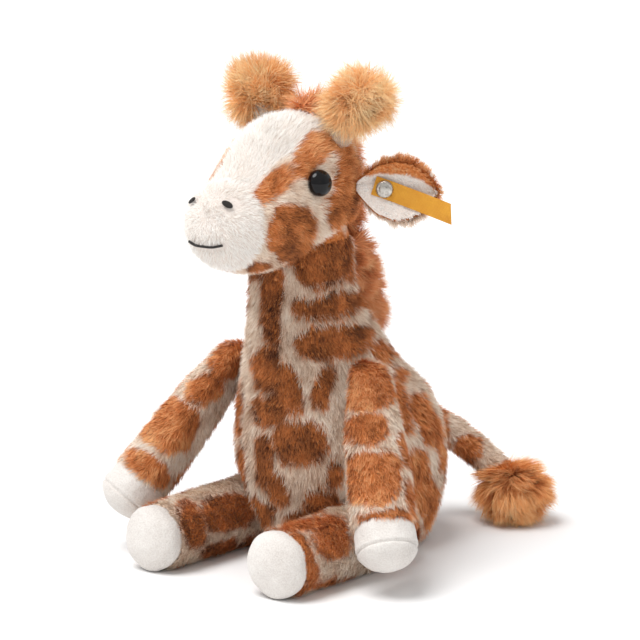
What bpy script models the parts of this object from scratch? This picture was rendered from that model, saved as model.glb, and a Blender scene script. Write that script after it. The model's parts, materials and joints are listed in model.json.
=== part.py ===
"""A seated plush giraffe, built from its sewn covers, stuffing and trimmings.

The origin is in the middle of the flat seat, +Z is up and the giraffe faces -Y.
Left is the giraffe's own left, at +X.
"""

import math

import bmesh
import bpy
from mathutils import Matrix, Vector

# Fabric and fits
FABRIC = 0.0012
LINING = 0.0010
FIT_GAP = 0.0003
OVERRUN = 0.006
PROBE = 0.002
FLAT_CUT = 0.0005
MERGE_DISTANCE = 0.00001

# Torso and neck
TORSO_WIDTH = 0.087
TORSO_DEPTH = 0.103
TORSO_HEIGHT = 0.108
NECK_RADIUS = 0.022
NECK_RISE = 0.0335
NECK_LEAN = 0.029
NECK_OPENING_RADIUS = 0.009

# Head and muzzle, measured from the centre on which the head turns
HEAD_WIDTH = 0.0536
HEAD_HEIGHT = 0.065
HEAD_BACK = 0.028
SKULL_RISE = 0.025
MUZZLE_REACH = 0.045
MUZZLE_WIDTH = 0.0435
MUZZLE_HEIGHT = 0.0415
MUZZLE_DEPTH = 0.0215
MUZZLE_DROP = 0.0108
MUZZLE_SEAM = 0.048
FOREHEAD_PANEL_WIDTH = 0.030
FOREHEAD_PANEL_START = 0.000

# Eyes: a domed head and shank outside, a lock washer inside
EYE_RADIUS = 0.0058
EYE_DOME = 0.0042
EYE_RIM = 0.0010
EYE_SHANK_RADIUS = 0.0016
EYE_SHANK_LENGTH = 0.0085
EYE_FORWARD = 0.0200
EYE_RISE = 0.0058
WASHER_RADIUS = 0.0045
WASHER_THICKNESS = 0.0012

# Embroidery
NOSTRIL_LENGTH = 0.0054
NOSTRIL_WIDTH = 0.0028
NOSTRIL_PAD = 0.0010
MOUTH_THREAD_RADIUS = 0.0006

# Horns
HORN_ROOT_SPREAD = 0.0165
HORN_ROOT_FORWARD = -0.001
HORN_ROOT_RISE = 0.046
HORN_TIP_SPREAD = 0.0275
HORN_TIP_FORWARD = -0.006
HORN_TIP_RISE = 0.0640
HORN_ROOT_RADIUS = 0.0062
HORN_TIP_RADIUS = 0.0042
POMPOM_RADIUS = 0.0150

# Ears
EAR_LENGTH = 0.036
EAR_WIDTH = 0.0280
EAR_CUP = 0.0045
EAR_ROOT_RADIUS = 0.0009
EAR_FORWARD = -0.006
EAR_RISE = 0.027
LINING_MARGIN = 0.0015
EAR_CUP_END_SHARE = 0.9

# Ear rivet and ribbon
RIVET_RADIUS = 0.0038
RIVET_DOME = 0.0014
RIVET_SHANK_RADIUS = 0.0009
RIVET_BACK_RADIUS = 0.0030
RIVET_BACK_THICKNESS = 0.0008
RIVET_ALONG = 0.0125
RIBBON_LENGTH = 0.036
RIBBON_WIDTH = 0.0084
RIBBON_THICKNESS = 0.0004
RIBBON_LAP = 0.0050
RIBBON_BEND = 0.0085
RIBBON_BEND_POWER = 1.2
RIBBON_CURL_SHARE = 3.2

# Mane
MANE_WIDTH = 0.015
MANE_HEIGHT = 0.0090
MANE_NECK_HEIGHT = 0.0170
MANE_LEAN = 0.006
MANE_BOTTOM = 0.100
MANE_LEAST_WIDTH_SHARE = 0.4

# Arms
SHOULDER_HEIGHT = 0.0825
SHOULDER_FORWARD = 0.030
SHOULDER_STANDOFF = 0.001
SHOULDER_SEAM_RADIUS = 0.0075
SHOULDER_SEAM_SPREAD = 0.0040
SHOULDER_SEAM_DEPTH = 0.010
ARM_LENGTH = 0.076
ARM_ROOT_RADIUS = 0.0110
ARM_RADIUS = 0.0135
PAW_RADIUS = 0.0133
PAW_DOME = 0.0095
PAW_CAP_LENGTH = 0.0195

# Legs
HIP_SPREAD = 0.035
HIP_FORWARD = 0.013
LEG_LENGTH = 0.077
LEG_RADIUS = 0.0152
FOOT_RADIUS = 0.0145
FOOT_DOME = 0.0070
FOOT_CAP_LENGTH = 0.0115

# Tail
TAIL_HEIGHT = 0.048
TAIL_RADIUS = 0.0075
TAIL_STANDOFF = 0.004
TAIL_TIP_RADIUS = 0.0062
TUFT_RADIUS = 0.0170
TUFT_SIDE = 0.042
TUFT_BACK = 0.078
TUFT_SQUASH_SHARE = 0.92
TAIL_BEND_SHARE = 0.62

# Angles, degrees
ARM_LEAN = 18.5
ARM_SPLAY_LEFT = 9.5
ARM_SPLAY_RIGHT = 7.5
ARM_LIFT_LEFT = 23.0
ARM_LIFT_RIGHT = 32.0
LEG_UP = 10.0
LEG_DOWN = 60.0
TAIL_SWING_LEFT = 75.0
TAIL_SWING_RIGHT = 75.0
EAR_SWEEP = 30.0
EAR_DROOP = 4.0
RIBBON_SLANT = 14.0
MANE_START = 96.0
MANE_SWEEP = 148.0
SWING_EDGE = 86.0
SHARP_EDGE = 50.0

# Facets
BODY_SEGMENTS = 24
HEAD_SEGMENTS = 24
LIMB_SEGMENTS = 16
TRIM_SEGMENTS = 16
DOME_STEPS = 4
POMPOM_RINGS = 10
TUFT_RINGS = 12
NOSTRIL_RINGS = 8
SWING_SLICES = 12
SWING_ARC_STEPS = 10
EAR_ACROSS = 8
RIBBON_STEPS = 8
MANE_STEPS = 12
TAIL_STEPS = 10

# Torso rings: height, forward lean, half width and half depth, as shares of the torso's sizes
TORSO_RING_SHARES = (
    (0.037, -0.10, 0.800, 0.760),
    (0.111, -0.13, 0.885, 0.845),
    (0.24, -0.10, 0.965, 0.945),
    (0.39, -0.03, 1.00, 1.00),
    (0.52, 0.03, 0.99, 0.99),
    (0.65, 0.17, 0.91, 0.90),
    (0.77, 0.45, 0.77, 0.72),
    (0.90, 0.66, 0.667, 0.61),
    (1.00, 0.80, 0.586, 0.53),
)
SEAT_RING_SHARES = (0.0, -0.08, 0.70, 0.64)
# Neck rings: height, lean and radius, as shares of the neck's sizes
NECK_RING_SHARES = ((0.29, 0.94, 1.04), (0.66, 0.98, 1.005), (1.0, 1.0, 1.0))

# Head sections from the back to the muzzle: place, rise, half width and half height
HEAD_SECTION_SHARES = (
    (0.03, 0.015, 0.36, 0.36),
    (0.12, 0.015, 0.68, 0.69),
    (0.27, 0.015, 0.916, 0.923),
    (0.446, 0.008, 1.00, 1.00),
    (0.608, 0.000, 0.982, 0.994),
    (0.743, -0.038, 0.923, 0.908),
    (0.878, -0.115, 0.853, 0.785),
)
# Forehead panel: place between its start and the muzzle seam, and half width
FOREHEAD_PANEL_SHARES = ((0.0, 0.40), (0.22, 0.72), (0.45, 0.95), (0.72, 1.0), (1.0, 0.86))

# Limbs: place along the limb and radius
ARM_BODY_SHARES = ((0.0, 0.81), (0.25, 0.95), (0.55, 1.0), (0.85, 0.985))
LEG_BODY_SHARES = ((0.0, 1.0), (0.30, 1.0), (0.60, 0.985), (0.85, 0.96))

# Ear: place along the ear and half width
EAR_WIDTH_SHARES = ((0.0, 0.24), (0.12, 0.52), (0.28, 0.84), (0.48, 1.0), (0.68, 0.92),
                    (0.84, 0.68), (0.95, 0.38), (1.0, 0.16))

# Mane: place along the strip and thickness
MANE_SHARES = ((0.0, 0.45), (0.08, 0.85), (0.25, 1.0), (0.5, 0.95), (0.75, 1.0), (1.0, 0.95))
MANE_NECK_SHARES = ((0.0, 0.80), (0.3, 0.95), (0.65, 1.0), (0.88, 0.75), (1.0, 0.35))

# Muzzle embroidery: turn from straight ahead and rise, in degrees
NOSTRIL_TURN = 30.0
NOSTRIL_PITCH = 30.0
NOSTRIL_SLANT = 12.0
MOUTH_TURN_STEPS = 12
MOUTH_HALF_TURN = 25.0
MOUTH_PITCH = -22.0
MOUTH_CURL = 5.0
MOUTH_CORNER_POWER = 1.5
MOUTH_PEAK_SHARE = 0.35
MOUTH_PEAK_POWER = 6

ARM_SIZES = (ARM_LENGTH, ARM_ROOT_RADIUS, ARM_BODY_SHARES, ARM_RADIUS, PAW_RADIUS, PAW_DOME)
LEG_SIZES = (LEG_LENGTH, LEG_RADIUS, LEG_BODY_SHARES, LEG_RADIUS, FOOT_RADIUS, FOOT_DOME)
OPEN_DOME_SHARE = math.acos(NECK_OPENING_RADIUS / NECK_RADIUS) / (math.pi / 2)
NEARLY_CLOSED_SHARE = DOME_STEPS / (DOME_STEPS + 1)

NECK_CENTRE = Vector((0, -NECK_LEAN, TORSO_HEIGHT + NECK_RISE))
SIDES = (("left", 1), ("right", -1))


def start_scene():
    """Empty the scene and return the collections for the parts and for the cutters."""
    for old in list(bpy.data.objects):
        bpy.data.objects.remove(old, do_unlink=True)
    found = []
    for name in ("plush_giraffe", "cutters"):
        collection = bpy.data.collections.new(name)
        bpy.context.scene.collection.children.link(collection)
        found.append(collection)
    return found


PARTS, CUTTERS = start_scene()


def material(name, colour, roughness, metallic=0.0):
    """A plain Principled material."""
    made = bpy.data.materials.new(name)
    made.use_nodes = True
    shader = made.node_tree.nodes["Principled BSDF"]
    shader.inputs["Base Color"].default_value = (*colour, 1.0)
    shader.inputs["Roughness"].default_value = roughness
    shader.inputs["Metallic"].default_value = metallic
    return made


PATTERNED = ("patterned plush", (0.50, 0.22, 0.08), 0.9)
CREAM = ("cream plush", (0.82, 0.72, 0.60), 0.9)
WHITE = ("white plush", (0.90, 0.84, 0.76), 0.9)
LONG_PILE = ("long golden pile", (0.62, 0.33, 0.14), 0.9)
MANE_PILE = ("brown mane pile", (0.38, 0.15, 0.05), 0.9)
SUEDE = ("pale suede", (0.78, 0.75, 0.70), 0.95)
STUFFING = ("polyester stuffing", (0.85, 0.85, 0.83), 1.0)
GLOSS_BLACK = ("glossy black plastic", (0.01, 0.01, 0.012), 0.08)
WASHER_WHITE = ("washer plastic", (0.75, 0.75, 0.72), 0.4)
BLACK_THREAD = ("black thread", (0.015, 0.013, 0.012), 0.7)
NICKEL = ("nickel", (0.75, 0.72, 0.66), 0.25, 1.0)
RIBBON = ("yellow ribbon", (0.85, 0.42, 0.05), 0.6)


def place(name, mesh, finish=None, matrix=None):
    """An object for a mesh, among the parts if it has a finish and otherwise among the cutters."""
    made = bpy.data.objects.new(name, mesh)
    (PARTS if finish else CUTTERS).objects.link(made)
    if finish:
        mesh.materials.clear()
        mesh.materials.append(material(f"{name} {finish[0]}", *finish[1:]))
        mesh.shade_smooth()
        mesh.set_sharp_from_angle(angle=math.radians(SHARP_EDGE))
    else:
        made.hide_render = True
        made.display_type = "WIRE"
    if matrix:
        made.matrix_world = matrix
    return made


def loft(name, loops, start=None, end=None, wrap=False, finish=None, matrix=None):
    """A skin over loops of equally many points, closed by a pole at each end or by wrapping round."""
    shape = bmesh.new()
    rows = [[shape.verts.new(point) for point in loop] for loop in loops]
    count = len(rows[0])
    pairs = list(zip(rows, rows[1:]))
    if wrap:
        pairs.append((rows[-1], rows[0]))
    for near, far in pairs:
        for i in range(count):
            j = (i + 1) % count
            shape.faces.new((near[i], near[j], far[j], far[i]))
    for pole, row in ((start, rows[0]), (end, rows[-1])):
        if pole is not None:
            tip = shape.verts.new(pole)
            for i in range(count):
                shape.faces.new((tip, row[i], row[(i + 1) % count]))
    bmesh.ops.recalc_face_normals(shape, faces=shape.faces)
    mesh = bpy.data.meshes.new(name)
    shape.to_mesh(mesh)
    shape.free()
    return place(name, mesh, finish, matrix)


def ellipse(centre, across, up, half_across, half_up, count):
    """Points round an ellipse that lies along two directions."""
    turns = (math.tau * i / count for i in range(count))
    return [centre + across * half_across * math.cos(t) + up * half_up * math.sin(t) for t in turns]


def turned(name, profile, segments=TRIM_SEGMENTS, closed=False, finish=None, matrix=None):
    """A profile of radius and height pairs, turned about Z by a Screw modifier."""
    mesh = bpy.data.meshes.new(name)
    edges = [(i, i + 1) for i in range(len(profile) - 1)]
    if closed:
        edges.append((len(profile) - 1, 0))
    mesh.from_pydata([(radius, 0, height) for radius, height in profile], edges, [])
    made = place(name, mesh, finish, matrix)
    screw = made.modifiers.new("turn", "SCREW")
    screw.steps = screw.render_steps = segments
    screw.use_merge_vertices = True
    screw.merge_threshold = MERGE_DISTANCE
    screw.use_smooth_shade = True
    return made


def ball(name, halves, segments, rings, finish, matrix):
    """A ball or an ellipsoid with given half sizes."""
    shape = bmesh.new()
    bmesh.ops.create_uvsphere(shape, u_segments=segments, v_segments=rings, radius=halves.x)
    for vert in shape.verts:
        vert.co.y *= halves.y / halves.x
        vert.co.z *= halves.z / halves.x
    mesh = bpy.data.meshes.new(name)
    shape.to_mesh(mesh)
    shape.free()
    return place(name, mesh, finish, matrix)


def combine(target, other, operation="DIFFERENCE"):
    """Cut, join or intersect by a Boolean modifier."""
    cut = target.modifiers.new(f"{operation.lower()} {other.name}"[:60], "BOOLEAN")
    cut.operation = operation
    cut.object = other
    cut.solver = "EXACT"


def frame_matrix(origin, along, near):
    """A frame at a point whose Z runs along one direction, with X as near as it can be to another."""
    z_axis = along.normalized()
    x_axis = (near - z_axis * near.dot(z_axis)).normalized()
    y_axis = z_axis.cross(x_axis)
    turn = Matrix((x_axis, y_axis, z_axis)).transposed()
    return Matrix.Translation(origin) @ turn.to_4x4()


def block(name, matrix, reach, depth):
    """A cutting block whose top is the frame's XY plane."""
    mesh = bpy.data.meshes.new(name)
    shape = bmesh.new()
    bmesh.ops.create_cube(shape, size=reach)
    for vert in shape.verts:
        vert.co.z = vert.co.z * depth / reach - depth / 2
    shape.to_mesh(mesh)
    shape.free()
    return place(name, mesh, matrix=matrix)


def between(table, place_share):
    """Read a table of rows by linear interpolation of its first column."""
    for low, high in zip(table, table[1:]):
        if place_share <= high[0]:
            part = (place_share - low[0]) / (high[0] - low[0])
            return [a + (b - a) * part for a, b in zip(low, high)]
    return list(table[-1])


def cut_table(table, low, high):
    """The rows between two places, with a row at each of them."""
    inner = [list(row) for row in table if low < row[0] < high]
    return [between(table, low), *inner, between(table, high)]


# Torso and neck

def body_rings(inset):
    """Heights, forward places and half sizes of the torso and neck, drawn in by an inset."""
    rings = []
    for height, lean, width, depth in (SEAT_RING_SHARES, *TORSO_RING_SHARES):
        rings.append((max(height * TORSO_HEIGHT, inset), -lean * NECK_LEAN,
                      width * TORSO_WIDTH / 2 - inset, depth * TORSO_DEPTH / 2 - inset))
    for rise, lean, radius in NECK_RING_SHARES:
        size = radius * NECK_RADIUS - inset
        rings.append((TORSO_HEIGHT + rise * NECK_RISE, -lean * NECK_LEAN, size, size))
    return rings


def body_loops(inset, dome_end):
    """Loops from the seat up over the neck's dome to a share of its quarter turn."""
    loops = [ellipse(Vector((0, y, z)), Vector((1, 0, 0)), Vector((0, 1, 0)), rx, ry, BODY_SEGMENTS)
             for z, y, rx, ry in body_rings(inset)]
    radius = NECK_RADIUS - inset
    for step in range(1, DOME_STEPS + 1):
        turn = math.pi / 2 * dome_end * step / DOME_STEPS
        centre = NECK_CENTRE + Vector((0, 0, radius * math.sin(turn)))
        size = radius * math.cos(turn)
        loops.append(ellipse(centre, Vector((1, 0, 0)), Vector((0, 1, 0)), size, size, BODY_SEGMENTS))
    return loops


def seat_pole(inset):
    """Middle of the flat seat."""
    return Vector((0, -SEAT_RING_SHARES[1] * NECK_LEAN, inset))


def neck_pole(inset):
    """Top of the neck's dome."""
    return NECK_CENTRE + Vector((0, 0, NECK_RADIUS - inset))


def make_body():
    """The one-piece cover of torso and neck, open at the top, and its stuffing."""
    outer = body_loops(0, OPEN_DOME_SHARE)
    inner = body_loops(FABRIC, OPEN_DOME_SHARE)
    cover = loft("body_cover", outer + inner[::-1], seat_pole(0), seat_pole(FABRIC), finish=PATTERNED)
    core = FABRIC + FIT_GAP
    filling = loft("body_filling", body_loops(core, NEARLY_CLOSED_SHARE), seat_pole(core),
                   neck_pole(core), finish=STUFFING)
    return cover, filling


def body_back(height):
    """Forward place and half sizes of the body at a height."""
    rings = sorted(body_rings(0))
    return between(rings, height)


# Limbs

def limb_outline(length, root, body_shares, radius, tip, dome, inset):
    """Places along a limb and radii, from near its root pole to near its tip pole."""
    outline = []
    for step in range(1, DOME_STEPS):
        turn = math.pi / 2 * step / DOME_STEPS
        outline.append((-(root - inset) * math.cos(turn), (root - inset) * math.sin(turn)))
    outline += [(along * length, share * radius - inset) for along, share in body_shares]
    for step in range(DOME_STEPS):
        turn = math.pi / 2 * step / DOME_STEPS
        outline.append((length + (dome - inset) * math.sin(turn), (tip - inset) * math.cos(turn)))
    return outline


def limb_loops(outline):
    """Round loops for the rows of an outline."""
    return [ellipse(Vector((0, 0, along)), Vector((1, 0, 0)), Vector((0, 1, 0)), radius, radius,
                    LIMB_SEGMENTS) for along, radius in outline]


def make_limb(kind, side, sizes, cap_length, matrix):
    """A limb's plush sleeve, its suede end cap and its stuffing."""
    length, root, _, _, tip, dome = sizes
    seam = length + dome - cap_length
    outer = limb_outline(*sizes, 0)
    inner = limb_outline(*sizes, FABRIC)
    sleeve_end = seam - FIT_GAP / 2
    cap_start = seam + FIT_GAP / 2
    sleeve_outer = cut_table(outer, outer[0][0], sleeve_end)
    sleeve_inner = cut_table(inner, inner[0][0], sleeve_end)
    sleeve = loft(f"{kind}_cover_{side}", limb_loops(sleeve_outer) + limb_loops(sleeve_inner)[::-1],
                  Vector((0, 0, -root)), Vector((0, 0, FABRIC - root)), finish=PATTERNED, matrix=matrix)
    cap_outer = cut_table(outer, cap_start, outer[-1][0])
    cap_inner = cut_table(inner, cap_start, inner[-1][0])
    cap = loft(f"{kind}_hoof_cap_{side}", limb_loops(cap_outer)[::-1] + limb_loops(cap_inner),
               Vector((0, 0, length + dome)), Vector((0, 0, length + dome - FABRIC)), finish=SUEDE,
               matrix=matrix)
    core = FABRIC + FIT_GAP
    filling = loft(f"{kind}_filling_{side}", limb_loops(limb_outline(*sizes, core)),
                   Vector((0, 0, core - root)), Vector((0, 0, length + dome - core)), finish=STUFFING,
                   matrix=matrix)
    return sleeve, cap, filling


def arm_axis(sign):
    """The direction about which an arm swings: outward, and up with the slope of the flank."""
    lean = math.radians(ARM_LEAN)
    return Vector((sign * math.cos(lean), 0, math.sin(lean)))


def flank_distance():
    """Distance from the origin to the plane that just clears the torso's flank."""
    axis = arm_axis(1)
    reach = max(width * axis.x + height * axis.z for height, _, width, _ in body_rings(0)
                if height <= TORSO_HEIGHT)
    return reach + FIT_GAP


def shoulder(sign):
    """The centre of an arm's root, on its axis."""
    axis = arm_axis(sign)
    spread = (flank_distance() - SHOULDER_HEIGHT * axis.z) / abs(axis.x)
    seat = Vector((sign * spread, -SHOULDER_FORWARD, SHOULDER_HEIGHT))
    return seat + axis * SHOULDER_STANDOFF


def arm_direction(sign, lift, splay):
    """Where an arm points when it is lifted forward and splayed outward by two angles."""
    axis = arm_axis(sign)
    down = Vector((axis.z * sign, 0, -abs(axis.x)))
    ahead = Vector((0, -1, 0))
    swing = down * math.cos(math.radians(lift)) + ahead * math.sin(math.radians(lift))
    out = math.radians(splay)
    return swing * math.cos(out) + axis * math.sin(out)


def make_arms(body_cover):
    """Two arms, each cut flat where it turns against its shoulder seam on the body's cover."""
    inside = loft("shoulder_core", body_loops(FABRIC / 2, NEARLY_CLOSED_SHARE), seat_pole(FABRIC / 2),
                  neck_pole(FABRIC / 2))
    seam = [(0, -FIT_GAP), (SHOULDER_SEAM_RADIUS, -FIT_GAP),
            (SHOULDER_SEAM_RADIUS + SHOULDER_SEAM_SPREAD, -SHOULDER_SEAM_DEPTH), (0, -SHOULDER_SEAM_DEPTH)]
    for side, sign in SIDES:
        lift = ARM_LIFT_LEFT if sign > 0 else ARM_LIFT_RIGHT
        splay = ARM_SPLAY_LEFT if sign > 0 else ARM_SPLAY_RIGHT
        axis = arm_axis(sign)
        matrix = frame_matrix(shoulder(sign), arm_direction(sign, lift, splay), axis)
        sleeve, _, filling = make_limb("arm", side, ARM_SIZES, PAW_CAP_LENGTH, matrix)
        seat = shoulder(sign) - axis * SHOULDER_STANDOFF
        flat = frame_matrix(seat, axis, Vector((0, 1, 0)))
        flank = block(f"flank_block_{side}", flat, ARM_LENGTH * 2, ARM_RADIUS * 2)
        for piece in (sleeve, filling):
            combine(piece, flank)
        puckered = turned(f"shoulder_seam_{side}", seam, matrix=flat)
        combine(puckered, inside)
        combine(body_cover, puckered, "UNION")


def hip(sign):
    """The centre of a leg's root, on its axis."""
    return Vector((sign * HIP_SPREAD, -HIP_FORWARD, LEG_RADIUS - FLAT_CUT))


def make_legs():
    """Two legs, laid flat on what the giraffe sits on."""
    floor = block("floor_block", Matrix.Identity(4), LEG_LENGTH * 4, LEG_RADIUS)
    for side, sign in SIDES:
        matrix = frame_matrix(hip(sign), Vector((0, -1, 0)), Vector((1, 0, 0)))
        sleeve, _, _ = make_limb("leg", side, LEG_SIZES, FOOT_CAP_LENGTH, matrix)
        combine(sleeve, floor)


def swing_space(name, centre, axis, ahead, radius, low, high, reach):
    """The room that a round-rooted limb sweeps as it turns about an axis between two angles."""
    upward = axis.cross(ahead)
    loops = []
    for step in range(SWING_SLICES + 1):
        turn = math.radians(SWING_EDGE * (2 * step / SWING_SLICES - 1))
        middle = centre + axis * radius * math.sin(turn)
        half = radius * math.cos(turn)

        def towards(angle):
            return ahead * math.cos(math.radians(angle)) + upward * math.sin(math.radians(angle))

        loop = [middle + towards(low) * reach + towards(low - 90) * half]
        span = 180 - (high - low)
        for i in range(SWING_ARC_STEPS + 1):
            loop.append(middle + towards(low - 90 - span * i / SWING_ARC_STEPS) * half)
        loop.append(middle + towards(high) * reach + towards(high + 90) * half)
        loops.append(loop)
    ends = [sum(loop, Vector()) / len(loop) for loop in (loops[0], loops[-1])]
    return loft(name, loops, *ends)


def clear_hips(cover, filling):
    """Hollows in the torso's lower corners in which the legs swing."""
    for side, sign in SIDES:
        for piece, extra in ((cover, FIT_GAP), (filling, FIT_GAP + FABRIC)):
            room = swing_space(f"hip_space_{piece.name}_{side}", hip(sign), Vector((-1, 0, 0)),
                               Vector((0, -1, 0)), LEG_RADIUS + extra, -LEG_DOWN, LEG_UP, LEG_LENGTH * 2)
            combine(piece, room)


# Head

def head_sections(inset):
    """Forward place, rise and half sizes of the head, measured from the turning centre."""
    rows = []
    span = HEAD_BACK + MUZZLE_REACH
    for place_share, rise, width, height in HEAD_SECTION_SHARES:
        rows.append((place_share * span - HEAD_BACK, SKULL_RISE + rise * HEAD_HEIGHT,
                     width * HEAD_WIDTH / 2 - inset, height * HEAD_HEIGHT / 2 - inset))
    for step in range(DOME_STEPS + 1):
        turn = math.pi / 2 * step / (DOME_STEPS + 1)
        rows.append((MUZZLE_REACH + (MUZZLE_DEPTH - inset) * math.sin(turn), SKULL_RISE - MUZZLE_DROP,
                     (MUZZLE_WIDTH / 2 - inset) * math.cos(turn),
                     (MUZZLE_HEIGHT / 2 - inset) * math.cos(turn)))
    return rows


def head_loops(sections):
    """Upright elliptical loops for the head's sections."""
    return [ellipse(Vector((0, -forward, rise)), Vector((1, 0, 0)), Vector((0, 0, 1)), width, height,
                    HEAD_SEGMENTS) for forward, rise, width, height in sections]


def head_pole(inset):
    """Back of the head."""
    return Vector((0, HEAD_BACK - inset, SKULL_RISE + HEAD_SECTION_SHARES[0][1] * HEAD_HEIGHT))


def muzzle_pole(inset):
    """Tip of the muzzle."""
    return Vector((0, -MUZZLE_REACH - MUZZLE_DEPTH + inset, SKULL_RISE - MUZZLE_DROP))


def head_point(forward, rise):
    """A point on the left side of the head."""
    _, middle, width, height = between(head_sections(0), forward)
    up = (rise - middle) / height
    return Vector((math.sqrt(1 - up * up) * width, -forward, rise))


def head_side(forward, rise, lift=0.0):
    """A point at or over the left side of the head, and the way that its surface faces."""
    ahead = head_point(forward + PROBE, rise) - head_point(forward - PROBE, rise)
    upward = head_point(forward, rise + PROBE) - head_point(forward, rise - PROBE)
    facing = upward.cross(ahead).normalized()
    return head_point(forward, rise) + facing * lift, facing


def muzzle_point(turn, pitch, lift):
    """A point on the front of the muzzle, and the way that its surface faces."""
    turn, pitch = math.radians(turn), math.radians(pitch)
    ray = Vector((math.sin(turn) * math.cos(pitch), -math.cos(turn) * math.cos(pitch), math.sin(pitch)))
    halves = Vector((MUZZLE_WIDTH / 2, MUZZLE_DEPTH, MUZZLE_HEIGHT / 2))
    spot = Vector(a * b for a, b in zip(ray, halves))
    facing = Vector(a / b for a, b in zip(ray, halves)).normalized()
    centre = Vector((0, -MUZZLE_REACH, SKULL_RISE - MUZZLE_DROP))
    return centre + spot + facing * lift, facing


def neck_room(name, extra):
    """The round-topped room that the neck takes up inside the head."""
    radius = NECK_RADIUS + extra
    profile = [(radius * math.sin(math.pi / 2 * i / (DOME_STEPS * 2)),
                radius * math.cos(math.pi / 2 * i / (DOME_STEPS * 2))) for i in range(DOME_STEPS * 2 + 1)]
    profile += [(radius, -HEAD_HEIGHT), (0, -HEAD_HEIGHT)]
    return turned(name, profile, BODY_SEGMENTS, matrix=Matrix.Translation(NECK_CENTRE))


def forehead_prism(name, widen):
    """The upright prism that takes the forehead panel out of the head's skin."""
    start = FOREHEAD_PANEL_START - widen
    span = MUZZLE_SEAM + OVERRUN - start
    points = []
    for along, share in FOREHEAD_PANEL_SHARES:
        points.append((share * FOREHEAD_PANEL_WIDTH / 2 + widen, -(start + along * span)))
    points += [(-x, y) for x, y in points[::-1]]
    low = SKULL_RISE
    high = SKULL_RISE + HEAD_HEIGHT
    loops = [[Vector((x, y, z)) for x, y in points] for z in (low, high)]
    return loft(name, loops, Vector((0, -start - span / 2, low)), Vector((0, -start - span / 2, high)),
                matrix=Matrix.Translation(NECK_CENTRE))


def make_head():
    """The head's skin, forehead panel, muzzle and stuffing."""
    at_neck = Matrix.Translation(NECK_CENTRE)
    outer, inner = head_sections(0), head_sections(FABRIC)
    seam = MUZZLE_SEAM - FIT_GAP / 2
    back_loops = head_loops(cut_table(outer, outer[0][0], seam))
    back_loops += head_loops(cut_table(inner, inner[0][0], seam))[::-1]
    cover = loft("head_cover", back_loops, head_pole(0), head_pole(FABRIC), finish=PATTERNED,
                 matrix=at_neck)
    panel = loft("forehead_panel", back_loops, head_pole(0), head_pole(FABRIC), finish=CREAM,
                 matrix=at_neck)
    combine(cover, forehead_prism("forehead_hole", FIT_GAP / 2))
    combine(panel, forehead_prism("forehead_outline", -FIT_GAP / 2), "INTERSECT")
    seam = MUZZLE_SEAM + FIT_GAP / 2
    front_loops = head_loops(cut_table(outer, seam, outer[-1][0]))[::-1]
    front_loops += head_loops(cut_table(inner, seam, inner[-1][0]))
    loft("muzzle_cover", front_loops, muzzle_pole(0), muzzle_pole(FABRIC), finish=WHITE, matrix=at_neck)
    core = FABRIC + FIT_GAP
    filling = loft("head_filling", head_loops(head_sections(core)), head_pole(core), muzzle_pole(core),
                   finish=STUFFING, matrix=at_neck)
    combine(cover, neck_room("neck_room_cover", FIT_GAP))
    combine(filling, neck_room("neck_room_filling", FIT_GAP))
    seat = loft("head_seat", head_loops(head_sections(-FIT_GAP)), head_pole(-FIT_GAP),
                muzzle_pole(-FIT_GAP), matrix=at_neck)
    return cover, filling, seat


def make_eyes(cover, filling):
    """Safety eyes: a dome on a shank outside, and a lock washer inside."""
    dome = [(EYE_RADIUS * math.sin(math.pi / 2 * i / DOME_STEPS),
             EYE_RIM + EYE_DOME * math.cos(math.pi / 2 * i / DOME_STEPS)) for i in range(DOME_STEPS + 1)]
    shank = [(EYE_RADIUS, 0), (EYE_SHANK_RADIUS, 0), (EYE_SHANK_RADIUS, -EYE_SHANK_LENGTH),
             (0, -EYE_SHANK_LENGTH)]
    bore = EYE_SHANK_RADIUS + FIT_GAP
    sag = WASHER_RADIUS ** 2 / HEAD_WIDTH
    top = -(FABRIC + FIT_GAP * 2 + sag)
    low = top - WASHER_THICKNESS
    ring = [(bore, top), (WASHER_RADIUS, top), (WASHER_RADIUS, low), (bore, low)]
    for side, sign in SIDES:
        spot, facing = head_side(EYE_FORWARD, EYE_RISE + SKULL_RISE, FIT_GAP)
        spot.x *= sign
        facing.x *= sign
        matrix = frame_matrix(NECK_CENTRE + spot, facing, Vector((0, -1, 0)))
        turned(f"eye_{side}", dome + shank, finish=GLOSS_BLACK, matrix=matrix)
        turned(f"eye_washer_{side}", ring, closed=True, finish=WASHER_WHITE, matrix=matrix)
        hole = turned(f"eye_hole_{side}", cylinder_profile(bore, OVERRUN, -OVERRUN), matrix=matrix)
        pocket = cylinder_profile(WASHER_RADIUS + FIT_GAP, OVERRUN, -EYE_SHANK_LENGTH - FIT_GAP)
        combine(cover, hole)
        combine(filling, turned(f"eye_pocket_{side}", pocket, matrix=matrix))


def cylinder_profile(radius, top, low):
    """Half section of a cylinder."""
    return [(0, top), (radius, top), (radius, low), (0, low)]


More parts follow.
